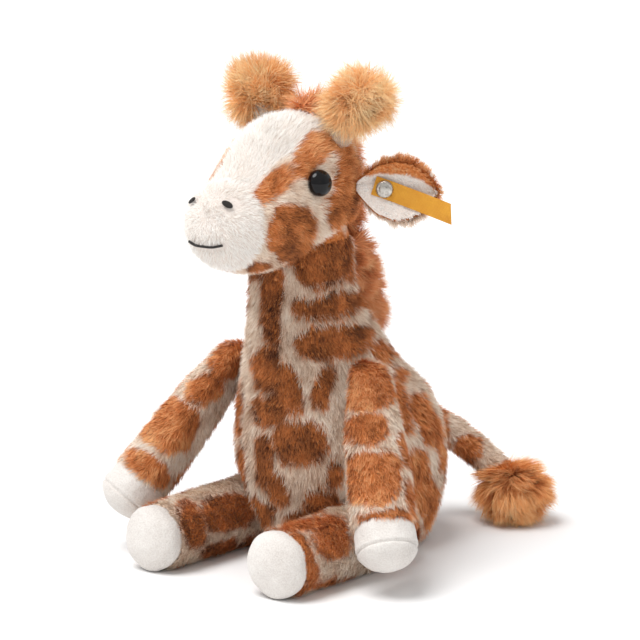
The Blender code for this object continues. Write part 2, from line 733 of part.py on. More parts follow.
def make_embroidery():
    """Satin-stitched nostrils and a thread mouth on the muzzle."""
    for side, sign in SIDES:
        spot, facing = muzzle_point(sign * NOSTRIL_TURN, NOSTRIL_PITCH, NOSTRIL_PAD / 2 + FIT_GAP)
        matrix = frame_matrix(NECK_CENTRE + spot, facing, Vector((1, 0, 0)))
        matrix = matrix @ Matrix.Rotation(math.radians(-sign * NOSTRIL_SLANT), 4, "Z")
        halves = Vector((NOSTRIL_LENGTH, NOSTRIL_WIDTH, NOSTRIL_PAD)) / 2
        ball(f"nostril_{side}", halves, TRIM_SEGMENTS, NOSTRIL_RINGS, BLACK_THREAD, matrix)
    path = []
    for step in range(MOUTH_TURN_STEPS + 1):
        part = 2 * step / MOUTH_TURN_STEPS - 1
        corner = abs(part) ** MOUTH_CORNER_POWER
        peak = MOUTH_PEAK_SHARE * math.cos(math.pi / 2 * part) ** MOUTH_PEAK_POWER
        spot, _ = muzzle_point(MOUTH_HALF_TURN * part, MOUTH_PITCH + MOUTH_CURL * (corner + peak),
                               MOUTH_THREAD_RADIUS + FIT_GAP)
        path.append(spot)
    thread_tube("mouth_embroidery", path, MOUTH_THREAD_RADIUS, BLACK_THREAD,
                Matrix.Translation(NECK_CENTRE))


def thread_tube(name, path, radius, finish, matrix):
    """A round thread along a path, as a closed mesh."""
    curve = bpy.data.curves.new(name, "CURVE")
    curve.dimensions = "3D"
    curve.bevel_depth = radius
    curve.bevel_resolution = 1
    curve.use_fill_caps = True
    spline = curve.splines.new("POLY")
    spline.points.add(len(path) - 1)
    for point, spot in zip(spline.points, path):
        point.co = (*spot, 1.0)
    guide = bpy.data.objects.new(f"{name}_path", curve)
    CUTTERS.objects.link(guide)
    bpy.context.view_layer.update()
    seen = guide.evaluated_get(bpy.context.evaluated_depsgraph_get())
    mesh = bpy.data.meshes.new_from_object(seen)
    shape = bmesh.new()
    shape.from_mesh(mesh)
    bmesh.ops.remove_doubles(shape, verts=shape.verts, dist=MERGE_DISTANCE)
    bmesh.ops.recalc_face_normals(shape, faces=shape.faces)
    shape.to_mesh(mesh)
    shape.free()
    bpy.data.objects.remove(guide, do_unlink=True)
    return place(name, mesh, finish, matrix)


def make_horns(seat):
    """Two horn stems that stand on the skull, each in a round pompom."""
    for side, sign in SIDES:
        root = NECK_CENTRE + Vector((sign * HORN_ROOT_SPREAD, -HORN_ROOT_FORWARD, HORN_ROOT_RISE))
        tip = NECK_CENTRE + Vector((sign * HORN_TIP_SPREAD, -HORN_TIP_FORWARD, HORN_TIP_RISE))
        rise = tip - root
        matrix = frame_matrix(root, rise, Vector((0, 1, 0)))
        grown = HORN_TIP_RADIUS + FIT_GAP
        profile = [(HORN_TIP_RADIUS * math.sin(math.pi / 2 * i / DOME_STEPS),
                    rise.length + HORN_TIP_RADIUS * math.cos(math.pi / 2 * i / DOME_STEPS))
                   for i in range(DOME_STEPS + 1)]
        profile += [(HORN_ROOT_RADIUS, 0), (HORN_ROOT_RADIUS, -OVERRUN), (0, -OVERRUN)]
        stem = turned(f"horn_stem_{side}", profile, finish=CREAM, matrix=matrix)
        combine(stem, seat)
        halves = Vector((POMPOM_RADIUS, POMPOM_RADIUS, POMPOM_RADIUS))
        at_tip = Matrix.Translation(tip) @ matrix.to_3x3().to_4x4()
        pompom = ball(f"horn_pompom_{side}", halves, TRIM_SEGMENTS, POMPOM_RINGS, LONG_PILE, at_tip)
        slope = (HORN_ROOT_RADIUS - HORN_TIP_RADIUS) / rise.length
        hollow = [(grown * math.sin(math.pi / 2 * i / DOME_STEPS),
                   rise.length + grown * math.cos(math.pi / 2 * i / DOME_STEPS))
                  for i in range(DOME_STEPS + 1)]
        hollow += [(grown + slope * rise.length, 0), (0, 0)]
        combine(pompom, turned(f"horn_socket_{side}", hollow, matrix=matrix))
        combine(pompom, seat)


# Ears

def ear_matrix(sign):
    """The ear's frame: X along the ear, Z up its width and -Y out of its lining."""
    root, _ = head_side(EAR_FORWARD, EAR_RISE, EAR_ROOT_RADIUS + FIT_GAP)
    root.x *= sign
    sweep, droop = math.radians(EAR_SWEEP), math.radians(EAR_DROOP)
    along = Vector((sign * math.cos(sweep) * math.cos(droop), math.sin(sweep) * math.cos(droop),
                    -math.sin(droop)))
    upward = (Vector((0, 0, 1)) - along * along.z).normalized()
    back = upward.cross(along) * sign
    turn = Matrix((along, back, upward)).transposed().to_4x4()
    return Matrix.Translation(NECK_CENTRE + root) @ turn


def ear_surface(shift, shrink):
    """A grid of points over the cupped ear, its edges curling forward."""
    rows = []
    for share, width in EAR_WIDTH_SHARES:
        half = width * EAR_WIDTH / 2 - shrink
        cup = EAR_CUP * math.sqrt(math.sin(math.pi * min(share, EAR_CUP_END_SHARE)))
        along = share * (EAR_LENGTH - shrink)
        rows.append([Vector((along, shift - cup * (t * t), t * half))
                     for t in (2 * i / EAR_ACROSS - 1 for i in range(EAR_ACROSS + 1))])
    return rows


def sheet(name, rows, thickness, offset, finish, matrix):
    """An open grid of points, thickened by a Solidify modifier."""
    shape = bmesh.new()
    grid = [[shape.verts.new(point) for point in row] for row in rows]
    for near, far in zip(grid, grid[1:]):
        for i in range(len(near) - 1):
            shape.faces.new((near[i], near[i + 1], far[i + 1], far[i]))
    mesh = bpy.data.meshes.new(name)
    shape.to_mesh(mesh)
    shape.free()
    made = place(name, mesh, finish, matrix)
    solid = made.modifiers.new("thickness", "SOLIDIFY")
    solid.thickness = thickness
    solid.offset = offset
    return made


def make_ears():
    """Each ear has a furry back and a pale lining; the left one carries a rivet and a ribbon."""
    for side, sign in SIDES:
        matrix = ear_matrix(sign)
        back = sheet(f"ear_back_{side}", ear_surface(0, 0), FABRIC, 1, PATTERNED, matrix)
        lining = sheet(f"ear_lining_{side}", ear_surface(-FIT_GAP * 2, LINING_MARGIN), LINING, -1,
                       WHITE, matrix)
        if side == "left":
            make_rivet(matrix, (back, lining))


def make_rivet(matrix, layers):
    """A domed rivet through the ear, its back plate, and the bare ribbon that it clamps."""
    curl = EAR_CUP * (RIBBON_WIDTH / EAR_WIDTH) ** 2 * RIBBON_CURL_SHARE
    front = FIT_GAP * 2 + LINING + FIT_GAP + curl
    ribbon_front = front + RIBBON_THICKNESS + FIT_GAP
    rear = -(FABRIC + FIT_GAP)
    spot = matrix @ Matrix.Translation((RIVET_ALONG, 0, 0)) @ Matrix.Rotation(math.pi / 2, 4, "X")
    dome = [(RIVET_RADIUS * math.sin(math.pi / 2 * i / DOME_STEPS),
             ribbon_front + RIVET_DOME * math.cos(math.pi / 2 * i / DOME_STEPS))
            for i in range(DOME_STEPS + 1)]
    low = rear - RIVET_BACK_THICKNESS
    profile = dome + [(RIVET_SHANK_RADIUS, ribbon_front), (RIVET_SHANK_RADIUS, low), (0, low)]
    turned("ear_rivet", profile, finish=NICKEL, matrix=spot)
    bore = RIVET_SHANK_RADIUS + FIT_GAP
    ring = [(bore, rear), (RIVET_BACK_RADIUS, rear), (RIVET_BACK_RADIUS, low), (bore, low)]
    turned("ear_rivet_back", ring, closed=True, finish=NICKEL, matrix=spot)
    rows = []
    for i in range(RIBBON_STEPS + 1):
        along = RIBBON_LENGTH * i / RIBBON_STEPS - RIBBON_LAP
        bend = RIBBON_BEND * (max(along - RIVET_RADIUS, 0) / RIBBON_LENGTH) ** RIBBON_BEND_POWER
        rows.append([Vector((along, y, front + bend)) for y in (-RIBBON_WIDTH / 2, RIBBON_WIDTH / 2)])
    slant = spot @ Matrix.Rotation(math.radians(-RIBBON_SLANT), 4, "Z")
    ribbon = sheet("ear_ribbon", rows, RIBBON_THICKNESS, -1, RIBBON, slant)
    hole = turned("rivet_hole", cylinder_profile(bore, OVERRUN, -OVERRUN), matrix=spot)
    for layer in (*layers, ribbon):
        combine(layer, hole)


# Mane

def strip(name, path, sideways, table, half_width, height, finish):
    """A ridge of long pile along a path, with a full oval section."""
    loops = []
    last = len(path) - 1
    for i, spot in enumerate(path):
        ahead = (path[min(i + 1, last)] - path[max(i - 1, 0)]).normalized()
        outward = sideways.cross(ahead).normalized()
        size = between(table, i / last)[1]
        spread = half_width * (MANE_LEAST_WIDTH_SHARE + (1 - MANE_LEAST_WIDTH_SHARE) * size)
        loops.append(ellipse(spot, sideways, outward, spread, height * size, TRIM_SEGMENTS))
    return loft(name, loops, path[0], path[-1], finish=finish)


def make_mane(seat, body_seat):
    """The strip of long pile from the forelock down the nape, and its lower half on the neck."""
    sideways = Vector((1, 0, 0))
    path = []
    skull = NECK_CENTRE + Vector((0, 0, SKULL_RISE))
    half_height = HEAD_HEIGHT / 2
    for step in range(MANE_STEPS + 1):
        turn = math.radians(MANE_START - MANE_SWEEP * step / MANE_STEPS)
        path.append(skull + Vector((0, HEAD_BACK * math.cos(turn), half_height * math.sin(turn))))
    upper = strip("mane_head", path, sideways, MANE_SHARES, MANE_WIDTH / 2, MANE_HEIGHT, MANE_PILE)
    combine(upper, seat)
    combine(upper, neck_room("neck_room_mane", FIT_GAP))
    ground = block("nape_block", Matrix.Translation(NECK_CENTRE + Vector((0, 0, FIT_GAP))),
                   HEAD_HEIGHT * 4, HEAD_HEIGHT)
    combine(upper, ground)
    path = []
    top = NECK_CENTRE.z
    for step in range(MANE_STEPS + 1):
        height = top + (MANE_BOTTOM - top) * step / MANE_STEPS
        _, middle, _, depth = body_back(height)
        path.append(Vector((MANE_LEAN, middle + depth, height)))
    lower = strip("mane_neck", path, sideways, MANE_NECK_SHARES, MANE_WIDTH / 2, MANE_NECK_HEIGHT,
                  MANE_PILE)
    combine(lower, body_seat)
    sky = block("sky_block", frame_matrix(NECK_CENTRE, Vector((0, 0, -1)), Vector((1, 0, 0))),
                HEAD_HEIGHT * 4, HEAD_HEIGHT)
    combine(lower, sky)


# Tail

def tail_root():
    """The centre of the tail's round root."""
    _, middle, _, depth = body_back(TAIL_HEIGHT)
    return Vector((0, middle + depth + TAIL_STANDOFF, TAIL_HEIGHT))


def tail_path():
    """Points along the tail from its root to the middle of its tuft."""
    root = tail_root()
    end = Vector((TUFT_SIDE, TUFT_BACK, TUFT_RADIUS * TUFT_SQUASH_SHARE + FIT_GAP))
    ahead = Vector((0, 1, 0))
    guide = root + ahead * TAIL_RADIUS * 2
    turn_point = Vector((end.x * TAIL_BEND_SHARE, end.y, (root.z + end.z) / 2))
    points = []
    for step in range(TAIL_STEPS + 1):
        t = step / TAIL_STEPS
        a, b, c, d = (1 - t) ** 3, 3 * t * (1 - t) ** 2, 3 * t * t * (1 - t), t ** 3
        points.append(root * a + guide * b + turn_point * c + end * d)
    return points


def tail_loops(inset, last):
    """Round loops along the tail, from near its root pole to a step."""
    path = tail_path()
    loops = []
    ahead = (path[1] - path[0]).normalized()
    across = ahead.cross(Vector((0, 0, 1))).normalized()
    radius = TAIL_RADIUS - inset
    for step in range(1, DOME_STEPS):
        turn = math.pi / 2 * step / DOME_STEPS
        centre = path[0] - ahead * radius * math.cos(turn)
        size = radius * math.sin(turn)
        loops.append(ellipse(centre, across, across.cross(ahead), size, size, TRIM_SEGMENTS))
    for i in range(last + 1):
        ahead = (path[min(i + 1, TAIL_STEPS)] - path[max(i - 1, 0)]).normalized()
        across = (across - ahead * across.dot(ahead)).normalized()
        size = TAIL_RADIUS + (TAIL_TIP_RADIUS - TAIL_RADIUS) * i / TAIL_STEPS - inset
        loops.append(ellipse(path[i], across, across.cross(ahead), size, size, TRIM_SEGMENTS))
    pole = path[0] - (path[1] - path[0]).normalized() * radius
    return loops, pole, path[last]


def make_tail(cover, filling):
    """The tail's sleeve and stuffing, and the tuft of long pile on its end."""
    last = TAIL_STEPS - 1
    outer, outer_pole, _ = tail_loops(0, last)
    inner, inner_pole, _ = tail_loops(FABRIC, last)
    back = tail_root()
    shift = Matrix.Translation(back)

    def local(loops):
        return [[point - back for point in loop] for loop in loops]

    loft("tail_cover", local(outer) + local(inner)[::-1], outer_pole - back, inner_pole - back,
         finish=PATTERNED, matrix=shift)
    core, core_pole, end = tail_loops(FABRIC + FIT_GAP, last)
    loft("tail_filling", local(core), core_pole - back, end - back, finish=STUFFING, matrix=shift)
    tuft_centre = tail_path()[-1]
    halves = Vector((TUFT_RADIUS, TUFT_RADIUS, TUFT_RADIUS * TUFT_SQUASH_SHARE))
    tuft = ball("tail_tuft", halves, BODY_SEGMENTS, TUFT_RINGS, LONG_PILE, Matrix.Translation(tuft_centre))
    grown, grown_pole, _ = tail_loops(-FIT_GAP, TAIL_STEPS)
    combine(tuft, loft("tail_socket", local(grown), grown_pole - back, tuft_centre - back, matrix=shift))
    for piece, extra in ((cover, FIT_GAP), (filling, FIT_GAP + FABRIC)):
        room = swing_space(f"tail_space_{piece.name}", back, Vector((0, 0, 1)), Vector((0, 1, 0)),
                           TAIL_RADIUS + extra, -TAIL_SWING_RIGHT, TAIL_SWING_LEFT, TORSO_DEPTH)
        combine(piece, room)


def main():
    """Make every piece of the giraffe."""
    body_cover, body_filling = make_body()
    clear_hips(body_cover, body_filling)
    make_arms(body_cover)
    make_legs()
    head_cover, head_filling, head_seat = make_head()
    make_eyes(head_cover, head_filling)
    make_embroidery()
    make_horns(head_seat)
    make_ears()
    body_seat = loft("body_seat", body_loops(-FIT_GAP, NEARLY_CLOSED_SHARE), seat_pole(-FIT_GAP),
                     neck_pole(-FIT_GAP))
    make_mane(head_seat, body_seat)
    make_tail(body_cover, body_filling)
    bpy.context.view_layer.update()


main()
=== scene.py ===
from itertools import product
import json
import math

import bmesh
import bpy
import numpy as np
from mathutils import Matrix, Vector
from mathutils.bvhtree import BVHTree


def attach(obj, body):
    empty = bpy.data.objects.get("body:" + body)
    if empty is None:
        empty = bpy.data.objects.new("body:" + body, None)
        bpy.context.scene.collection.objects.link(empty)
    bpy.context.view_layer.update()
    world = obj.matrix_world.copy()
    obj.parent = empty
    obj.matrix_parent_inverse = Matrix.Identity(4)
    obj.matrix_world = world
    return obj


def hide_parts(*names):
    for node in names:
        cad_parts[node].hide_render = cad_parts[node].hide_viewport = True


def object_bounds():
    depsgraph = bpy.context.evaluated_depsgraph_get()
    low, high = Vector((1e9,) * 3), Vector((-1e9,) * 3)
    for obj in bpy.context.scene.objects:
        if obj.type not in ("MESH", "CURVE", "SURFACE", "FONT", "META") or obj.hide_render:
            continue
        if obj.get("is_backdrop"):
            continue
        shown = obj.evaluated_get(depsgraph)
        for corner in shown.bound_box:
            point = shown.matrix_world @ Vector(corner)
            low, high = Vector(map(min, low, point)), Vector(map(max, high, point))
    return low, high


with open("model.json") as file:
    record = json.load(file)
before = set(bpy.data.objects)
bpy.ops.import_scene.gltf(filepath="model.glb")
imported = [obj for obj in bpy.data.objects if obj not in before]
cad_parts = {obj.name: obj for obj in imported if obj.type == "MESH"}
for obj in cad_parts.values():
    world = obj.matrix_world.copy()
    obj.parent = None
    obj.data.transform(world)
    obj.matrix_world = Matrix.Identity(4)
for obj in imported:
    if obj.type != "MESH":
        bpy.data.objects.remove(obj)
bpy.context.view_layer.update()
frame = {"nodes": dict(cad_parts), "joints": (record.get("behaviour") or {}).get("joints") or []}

# Camera, fitted to the photograph
CAMERA_TURN = 38.0
CAMERA_RISE = 10.5
CAMERA_DISTANCE = 1.2
PIXEL = 0.00045
PICTURE = 640
CENTRE_U = 341.0
CENTRE_V = 545.0
LOOK_FORWARD = 0.021
SENSOR = 36.0

# Skins under the fur
VOXEL = 0.0013
FINE_VOXEL = 0.0009
STEM_VOXEL = 0.0007
COVER = 0.0015
SMOOTHING = 12
RELAX_SHARE = 0.6
BACKING_CHANCE = 0.3
FLOOR_CLEARANCE = 0.0003

# Strand lengths, metres
BODY_PILE = 0.0049
HEAD_PILE = 0.0044
MUZZLE_PILE = 0.0032
LIMB_PILE = 0.0042
TAIL_PILE = 0.0040
EAR_PILE = 0.0030
MANE_PILE = 0.0105
POMPOM_PILE = 0.0110
TUFT_PILE = 0.0125
WISP_SIZE = 0.0042

SIDES = (("left", 1), ("right", -1))
PLACE_DIGITS = 5


def joint_place(name):
    """Where one of the frame's joints is."""
    return Vector(next(joint["pos_m"] for joint in frame["joints"] if joint["name"] == name))


def rounded(place):
    """A place to a hundredth of a millimetre, so that the last digits of the frame change no fur."""
    return Vector([round(value, PLACE_DIGITS) for value in place])


NECK_CENTRE = joint_place("head_turn")


def camera_frame():
    """The camera's right, up and backward directions and its place."""
    turn, rise = math.radians(CAMERA_TURN), math.radians(CAMERA_RISE)
    right = Vector((math.cos(turn), math.sin(turn), 0))
    back = Vector((math.sin(turn) * math.cos(rise), -math.cos(turn) * math.cos(rise), math.sin(rise)))
    up = back.cross(right)
    target = right * ((PICTURE / 2 - CENTRE_U) * PIXEL) + up * ((CENTRE_V - PICTURE / 2) * PIXEL)
    target += back * LOOK_FORWARD
    return right, up, back, target + back * CAMERA_DISTANCE


RIGHT, UP, BACK, EYE = camera_frame()


def make_camera():
    """The camera at the photograph's angle."""
    data = bpy.data.cameras.new("camera")
    data.sensor_width = SENSOR
    data.lens = SENSOR * CAMERA_DISTANCE / (PICTURE * PIXEL)
    data.dof.use_dof = False
    camera = bpy.data.objects.new("camera", data)
    camera.location = EYE
    camera.rotation_euler = BACK.to_track_quat("Z", "Y").to_euler()
    bpy.context.scene.collection.objects.link(camera)
    bpy.context.scene.camera = camera


def picture_places(points):
    """Columns and rows of the picture at which points lie, and how far each is from the camera."""
    offset = points - np.array(EYE)
    depth = -offset @ np.array(BACK)
    scale = CAMERA_DISTANCE / depth / PIXEL
    return PICTURE / 2 + offset @ np.array(RIGHT) * scale, PICTURE / 2 - offset @ np.array(UP) * scale


# Numbers in arrays

def unit(vectors):
    """Rows at length one."""
    return vectors / np.maximum(np.linalg.norm(vectors, axis=1, keepdims=True), 1e-12)


def smooth_step(low, high, value):
    """Zero below low, one above high, and smooth between them."""
    share = np.clip((value - low) / (high - low), 0, 1)
    return share * share * (3 - 2 * share)


HASH_FACTORS = (73856093, 19349663, 83492791)
HASH_SEED_FACTOR = 2654435
HASH_FIRST, HASH_ADDED, HASH_SECOND = 1103515245, 12345, 1274126177
HASH_SHIFT = 13
HASH_LIMIT = 0x7FFFFFFF


def lattice(cells, seed):
    """Random numbers from 0 to 1 for integer cells."""
    mixed = np.full(len(cells), seed * HASH_SEED_FACTOR)
    for axis, factor in enumerate(HASH_FACTORS):
        mixed = mixed ^ cells[:, axis] * factor
    mixed = (mixed * HASH_FIRST + HASH_ADDED) & HASH_LIMIT
    mixed = (mixed ^ (mixed >> HASH_SHIFT)) * HASH_SECOND & HASH_LIMIT
    return mixed / HASH_LIMIT


def noise(points, size, seed):
    """Smooth noise from -1 to 1 with features of a size."""
    place = points / size
    cell = np.floor(place).astype(np.int64)
    part = place - cell
    part = part * part * (3 - 2 * part)
    total = np.zeros(len(points))
    for corner in range(8):
        step = np.array([corner & 1, corner >> 1 & 1, corner >> 2 & 1])
        weight = np.prod(np.where(step, part, 1 - part), axis=1)
        total += weight * lattice(cell + step, seed)
    return total * 2 - 1


def noise_vectors(points, size, seed):
    """Three noises as a vector field."""
    return np.stack([noise(points, size, seed + i) for i in range(3)], axis=1)


# Meshes from arrays

def mesh_object(name, points, triangles, finish, smooth=True):
    """An object for arrays of points and triangles."""
    mesh = bpy.data.meshes.new(name)
    mesh.vertices.add(len(points))
    mesh.vertices.foreach_set("co", np.ascontiguousarray(points, dtype=np.float32).ravel())
    mesh.loops.add(triangles.size)
    mesh.loops.foreach_set("vertex_index", np.ascontiguousarray(triangles, dtype=np.int32).ravel())
    mesh.polygons.add(len(triangles))
    mesh.polygons.foreach_set("loop_start", np.arange(0, triangles.size, 3, dtype=np.int32))
    mesh.update(calc_edges=True)
    mesh.polygons.foreach_set("use_smooth", np.full(len(triangles), smooth))
    mesh.materials.append(finish)
    made = bpy.data.objects.new(name, mesh)
    bpy.context.scene.collection.objects.link(made)
    return made


def tone(made, values):
    """Keep per-point values for the material: patch, place along the strand, a tone share with any dyeing,
    painted shade and painted light added to it, and whiteness.
    """
    layer = made.data.attributes.new("tone", "FLOAT_COLOR", "POINT")
    layer.data.foreach_set("color", np.ascontiguousarray(values, dtype=np.float32).ravel())


def even_tone(made, *values):
    """The same values on every point."""
    tone(made, np.tile(np.array(values), (len(made.data.vertices), 1)))


def ring(centre, across, up, count):
    """Points round a centre, with two half axes."""
    turns = [math.tau * i / count for i in range(count)]
    return [centre + across * math.cos(turn) + up * math.sin(turn) for turn in turns]


def tube(rows, across):
    """Triangles between rings of equally many points."""
    triangles = []
    for r in range(rows - 1):
        for i in range(across):
            a, b = r * across + i, r * across + (i + 1) % across
            triangles += [(a, b, b + across), (a, b + across, a + across)]
    return triangles


def grid_object(name, rows, finish, tip, base):
    """A skin over rings of equally many points, with poles at its ends."""
    points = [point for row in rows for point in row]
    across = len(rows[0])
    triangles = tube(len(rows), across)
    for pole, start in ((base, 0), (tip, (len(rows) - 1) * across)):
        points.append(pole)
        for i in range(across):
            triangles.append((len(points) - 1, start + i, start + (i + 1) % across))
    made = mesh_object(name, np.array([tuple(p) for p in points]), np.array(triangles), finish)
    close_outward(made)
    return made


MERGE_DISTANCE = 0.000001


def close_outward(made):
    """Merge points in one place and turn all faces outward."""
    shape = bmesh.new()
    shape.from_mesh(made.data)
    bmesh.ops.remove_doubles(shape, verts=shape.verts, dist=MERGE_DISTANCE)
    bmesh.ops.recalc_face_normals(shape, faces=shape.faces)
    shape.to_mesh(made.data)
    shape.free()


def arrays(mesh):
    """Points, triangles and point normals of a mesh."""
    points = np.empty(len(mesh.vertices) * 3)
    mesh.vertices.foreach_get("co", points)
    normals = np.empty(len(mesh.vertices) * 3)
    mesh.vertices.foreach_get("normal", normals)
    mesh.calc_loop_triangles()
    triangles = np.empty(len(mesh.loop_triangles) * 3, dtype=np.int64)
    mesh.loop_triangles.foreach_get("vertices", triangles)
    return points.reshape(-1, 3), triangles.reshape(-1, 3), normals.reshape(-1, 3)


def box_middle(node):
    """The middle of the box round a solid of the frame."""
    points = arrays(frame["nodes"][node].data)[0]
    return Vector((points.min(axis=0) + points.max(axis=0)) / 2)


# Materials

class Nodes:
    """A short way to write a material's nodes."""

    def __init__(self, name):
        self.material = bpy.data.materials.new(name)
        self.material.use_nodes = True
        self.tree = self.material.node_tree
        self.shader = self.tree.nodes["Principled BSDF"]

    def add(self, kind, **values):
        """A node with its settings and inputs; an input given a socket is linked to it."""
        node = self.tree.nodes.new(kind)
        for key, value in values.items():
            if key in node.inputs:
                self.give(node.inputs[key], value)
            else:
                setattr(node, key, value)
        return node

    def give(self, socket, value):
        """Link a socket to another, or set its value."""
        if isinstance(value, bpy.types.NodeSocket):
            self.tree.links.new(value, socket)
        else:
            socket.default_value = value

    def set(self, **values):
        """Inputs of the Principled shader, with spaces written as underscores."""
        for key, value in values.items():
            self.give(self.shader.inputs[key.replace("_", " ")], value)

    def math(self, operation, a, b):
        """A Math node's result."""
        node = self.tree.nodes.new("ShaderNodeMath")
        node.operation = operation
        self.give(node.inputs[0], a)
        self.give(node.inputs[1], b)
        return node.outputs[0]

    def mix(self, share, a, b, blend="MIX"):
        """A mix of two colours."""
        node = self.tree.nodes.new("ShaderNodeMix")
        node.data_type = "RGBA"
        node.blend_type = blend
        self.give(node.inputs[0], share)
        self.give(node.inputs[6], a)
        self.give(node.inputs[7], b)
        return node.outputs[2]

    def weigh(self, *pairs):
        """The sum of values, each times its share."""
        total, *rest = [self.math("MULTIPLY", value, share) for value, share in pairs]
        for part in rest:
            total = self.math("ADD", total, part)
        return total

    def noise(self, scale, detail=3.0):
        """Noise over the object's own coordinates."""
        where = self.tree.nodes.new("ShaderNodeTexCoord").outputs["Object"]
        return self.add("ShaderNodeTexNoise", Vector=where, Scale=scale, Detail=detail).outputs[0]

    def ramp(self, value, stops):
        """A colour ramp."""
        node = self.tree.nodes.new("ShaderNodeValToRGB")
        self.give(node.inputs[0], value)
        bar = node.color_ramp
        while len(bar.elements) < len(stops):
            bar.elements.new(0.5)
        for element, (place, colour) in zip(bar.elements, stops):
            element.position = place
            element.color = (*colour, 1.0)
        return node.outputs[0]

    def bump(self, height, distance):
        """Bump the shader's surface by a height."""
        self.set(Normal=self.add("ShaderNodeBump", Height=height, Distance=distance).outputs[0])

    def surface(self, height, relief, stops, **values):
        """The material, with a colour ramp and a bump from one height."""
        self.set(Base_Color=self.ramp(height, stops), **values)
        self.bump(height, relief)
        return self.material


# Ramps from the roots in shadow to the tips in the light
BROWN = ((0.0, (0.085, 0.024, 0.009)), (0.50, (0.70, 0.235, 0.068)), (1.0, (0.97, 0.58, 0.270)))
GOLD = ((0.0, (0.70, 0.250, 0.080)), (0.45, (1.0, 0.540, 0.220)), (1.0, (1.0, 0.82, 0.51)))
UMBER = ((0.0, (0.39, 0.120, 0.042)), (0.5, (0.86, 0.355, 0.145)), (1.0, (0.99, 0.67, 0.37)))
CREAM = ((0.0, (0.56, 0.37, 0.25)), (0.5, (0.92, 0.78, 0.64)), (1.0, (1.0, 0.95, 0.88)))
WHITE = ((0.0, (0.93, 0.87, 0.81)), (0.5, (0.97, 0.935, 0.89)), (1.0, (0.99, 0.97, 0.95)))

# How a strand's colour depends on a random tone, on the place along it and on where it grows; the place
# along it paints shade at the root and light at the tip
CHANCE_SHARE, ROOT_SHADE_TIP_LIGHT_SHARE, CLOUD_SHARE = 0.55, 0.50, 1.1
CLOUD_MIDDLE = 0.56
PATCH_TURN = ((0.30, (0, 0, 0)), (0.70, (1, 1, 1)))
BACKING_SHADE = (0.45, 0.28, 0.20, 1.0)
BACKING_SHADE_SHARE = 0.35

# Scales of the materials' detail, in cells to a metre
PILE_CLOUD = 110.0
BACKING_GRAIN = 900.0
SUEDE_GRAIN, SUEDE_CLOUD = 1500.0, 60.0
EYE_GRAIN = 300.0
THREAD_TWIST = 900.0
METAL_CLOUD = 700.0
WASHER_CLOUD = 500.0
RIBBON_WEAVE, RIBBON_CLOUD = 620.0, 150.0

# Heights of the materials' relief, metres
BACKING_RELIEF = 0.0006
SUEDE_RELIEF = 0.0007
THREAD_RELIEF = WEAVE_RELIEF = 0.0003
METAL_RELIEF = WASHER_RELIEF = 0.0001


def pile_material(name, dark):
    """Fur of two colours: patches over cream, or over white where the fur is whiter."""
    nodes = Nodes(name)
    seen = nodes.add("ShaderNodeAttribute", attribute_name="tone")
    patch, along, chance_dye_and_painted_light = nodes.add("ShaderNodeSeparateColor", Color=seen.outputs["Color"]).outputs
    cloud = nodes.math("SUBTRACT", nodes.noise(PILE_CLOUD, 4.0), CLOUD_MIDDLE)
    # The place along each strand adds painted shade at its root and painted light at its tip
    shade = nodes.weigh((chance_dye_and_painted_light, CHANCE_SHARE), (along, ROOT_SHADE_TIP_LIGHT_SHARE), (cloud, CLOUD_SHARE))
    light = nodes.mix(seen.outputs["Alpha"], nodes.ramp(shade, CREAM), nodes.ramp(shade, WHITE))
    colour = nodes.mix(nodes.ramp(patch, PATCH_TURN), light, nodes.ramp(shade, dark))
    nodes.set(Base_Color=colour, Roughness=0.7, Sheen_Weight=0.06, Specular_IOR_Level=0.2)
    return nodes.material


def skin_material(name, dark):
    """The knitted backing under the fur, in the same two colours but darker."""
    nodes = Nodes(name)
    seen = nodes.add("ShaderNodeAttribute", attribute_name="tone")
    patch = nodes.add("ShaderNodeSeparateColor", Color=seen.outputs["Color"]).outputs[0]
    grain = nodes.noise(BACKING_GRAIN, 2.0)
    light = nodes.mix(seen.outputs["Alpha"], nodes.ramp(grain, CREAM), nodes.ramp(grain, WHITE))
    colour = nodes.mix(patch, light, nodes.ramp(grain, dark))
    colour = nodes.mix(BACKING_SHADE_SHARE, colour, BACKING_SHADE, "MULTIPLY")
    nodes.set(Base_Color=colour, Roughness=0.95, Specular_IOR_Level=0.1)
    nodes.bump(grain, BACKING_RELIEF)
    return nodes.material


def suede_material():
    """Pale brushed cloth with a fine nap."""
    nodes = Nodes("suede")
    mixed = nodes.weigh((nodes.noise(SUEDE_GRAIN, 4.0), 0.55), (nodes.noise(SUEDE_CLOUD), 0.45))
    stops = ((0.30, (0.57, 0.52, 0.48)), (0.50, (0.72, 0.675, 0.635)), (0.72, (0.84, 0.81, 0.77)))
    return nodes.surface(mixed, SUEDE_RELIEF, stops, Roughness=0.95, Sheen_Weight=0.3,
                         Specular_IOR_Level=0.15)


def eye_material():
    """Black glossy plastic with a faint brown depth and fine wear."""
    nodes = Nodes("eye_gloss")
    grain = nodes.noise(EYE_GRAIN, 2.0)
    wear = nodes.math("ADD", nodes.weigh((grain, 0.03)), 0.04)
    colour = nodes.ramp(grain, ((0.3, (0.002, 0.002, 0.003)), (0.8, (0.008, 0.007, 0.007))))
    nodes.set(Base_Color=colour, Roughness=wear, Specular_IOR_Level=0.27)
    return nodes.material


def thread_material():
    """Black twisted thread."""
    nodes = Nodes("black_thread")
    where = nodes.tree.nodes.new("ShaderNodeTexCoord").outputs["Object"]
    wave = nodes.add("ShaderNodeTexWave", Vector=where, Scale=THREAD_TWIST, Distortion=1.5)
    stops = ((0.0, (0.006, 0.005, 0.005)), (1.0, (0.045, 0.035, 0.03)))
    return nodes.surface(wave.outputs["Fac"], THREAD_RELIEF, stops, Roughness=0.7)


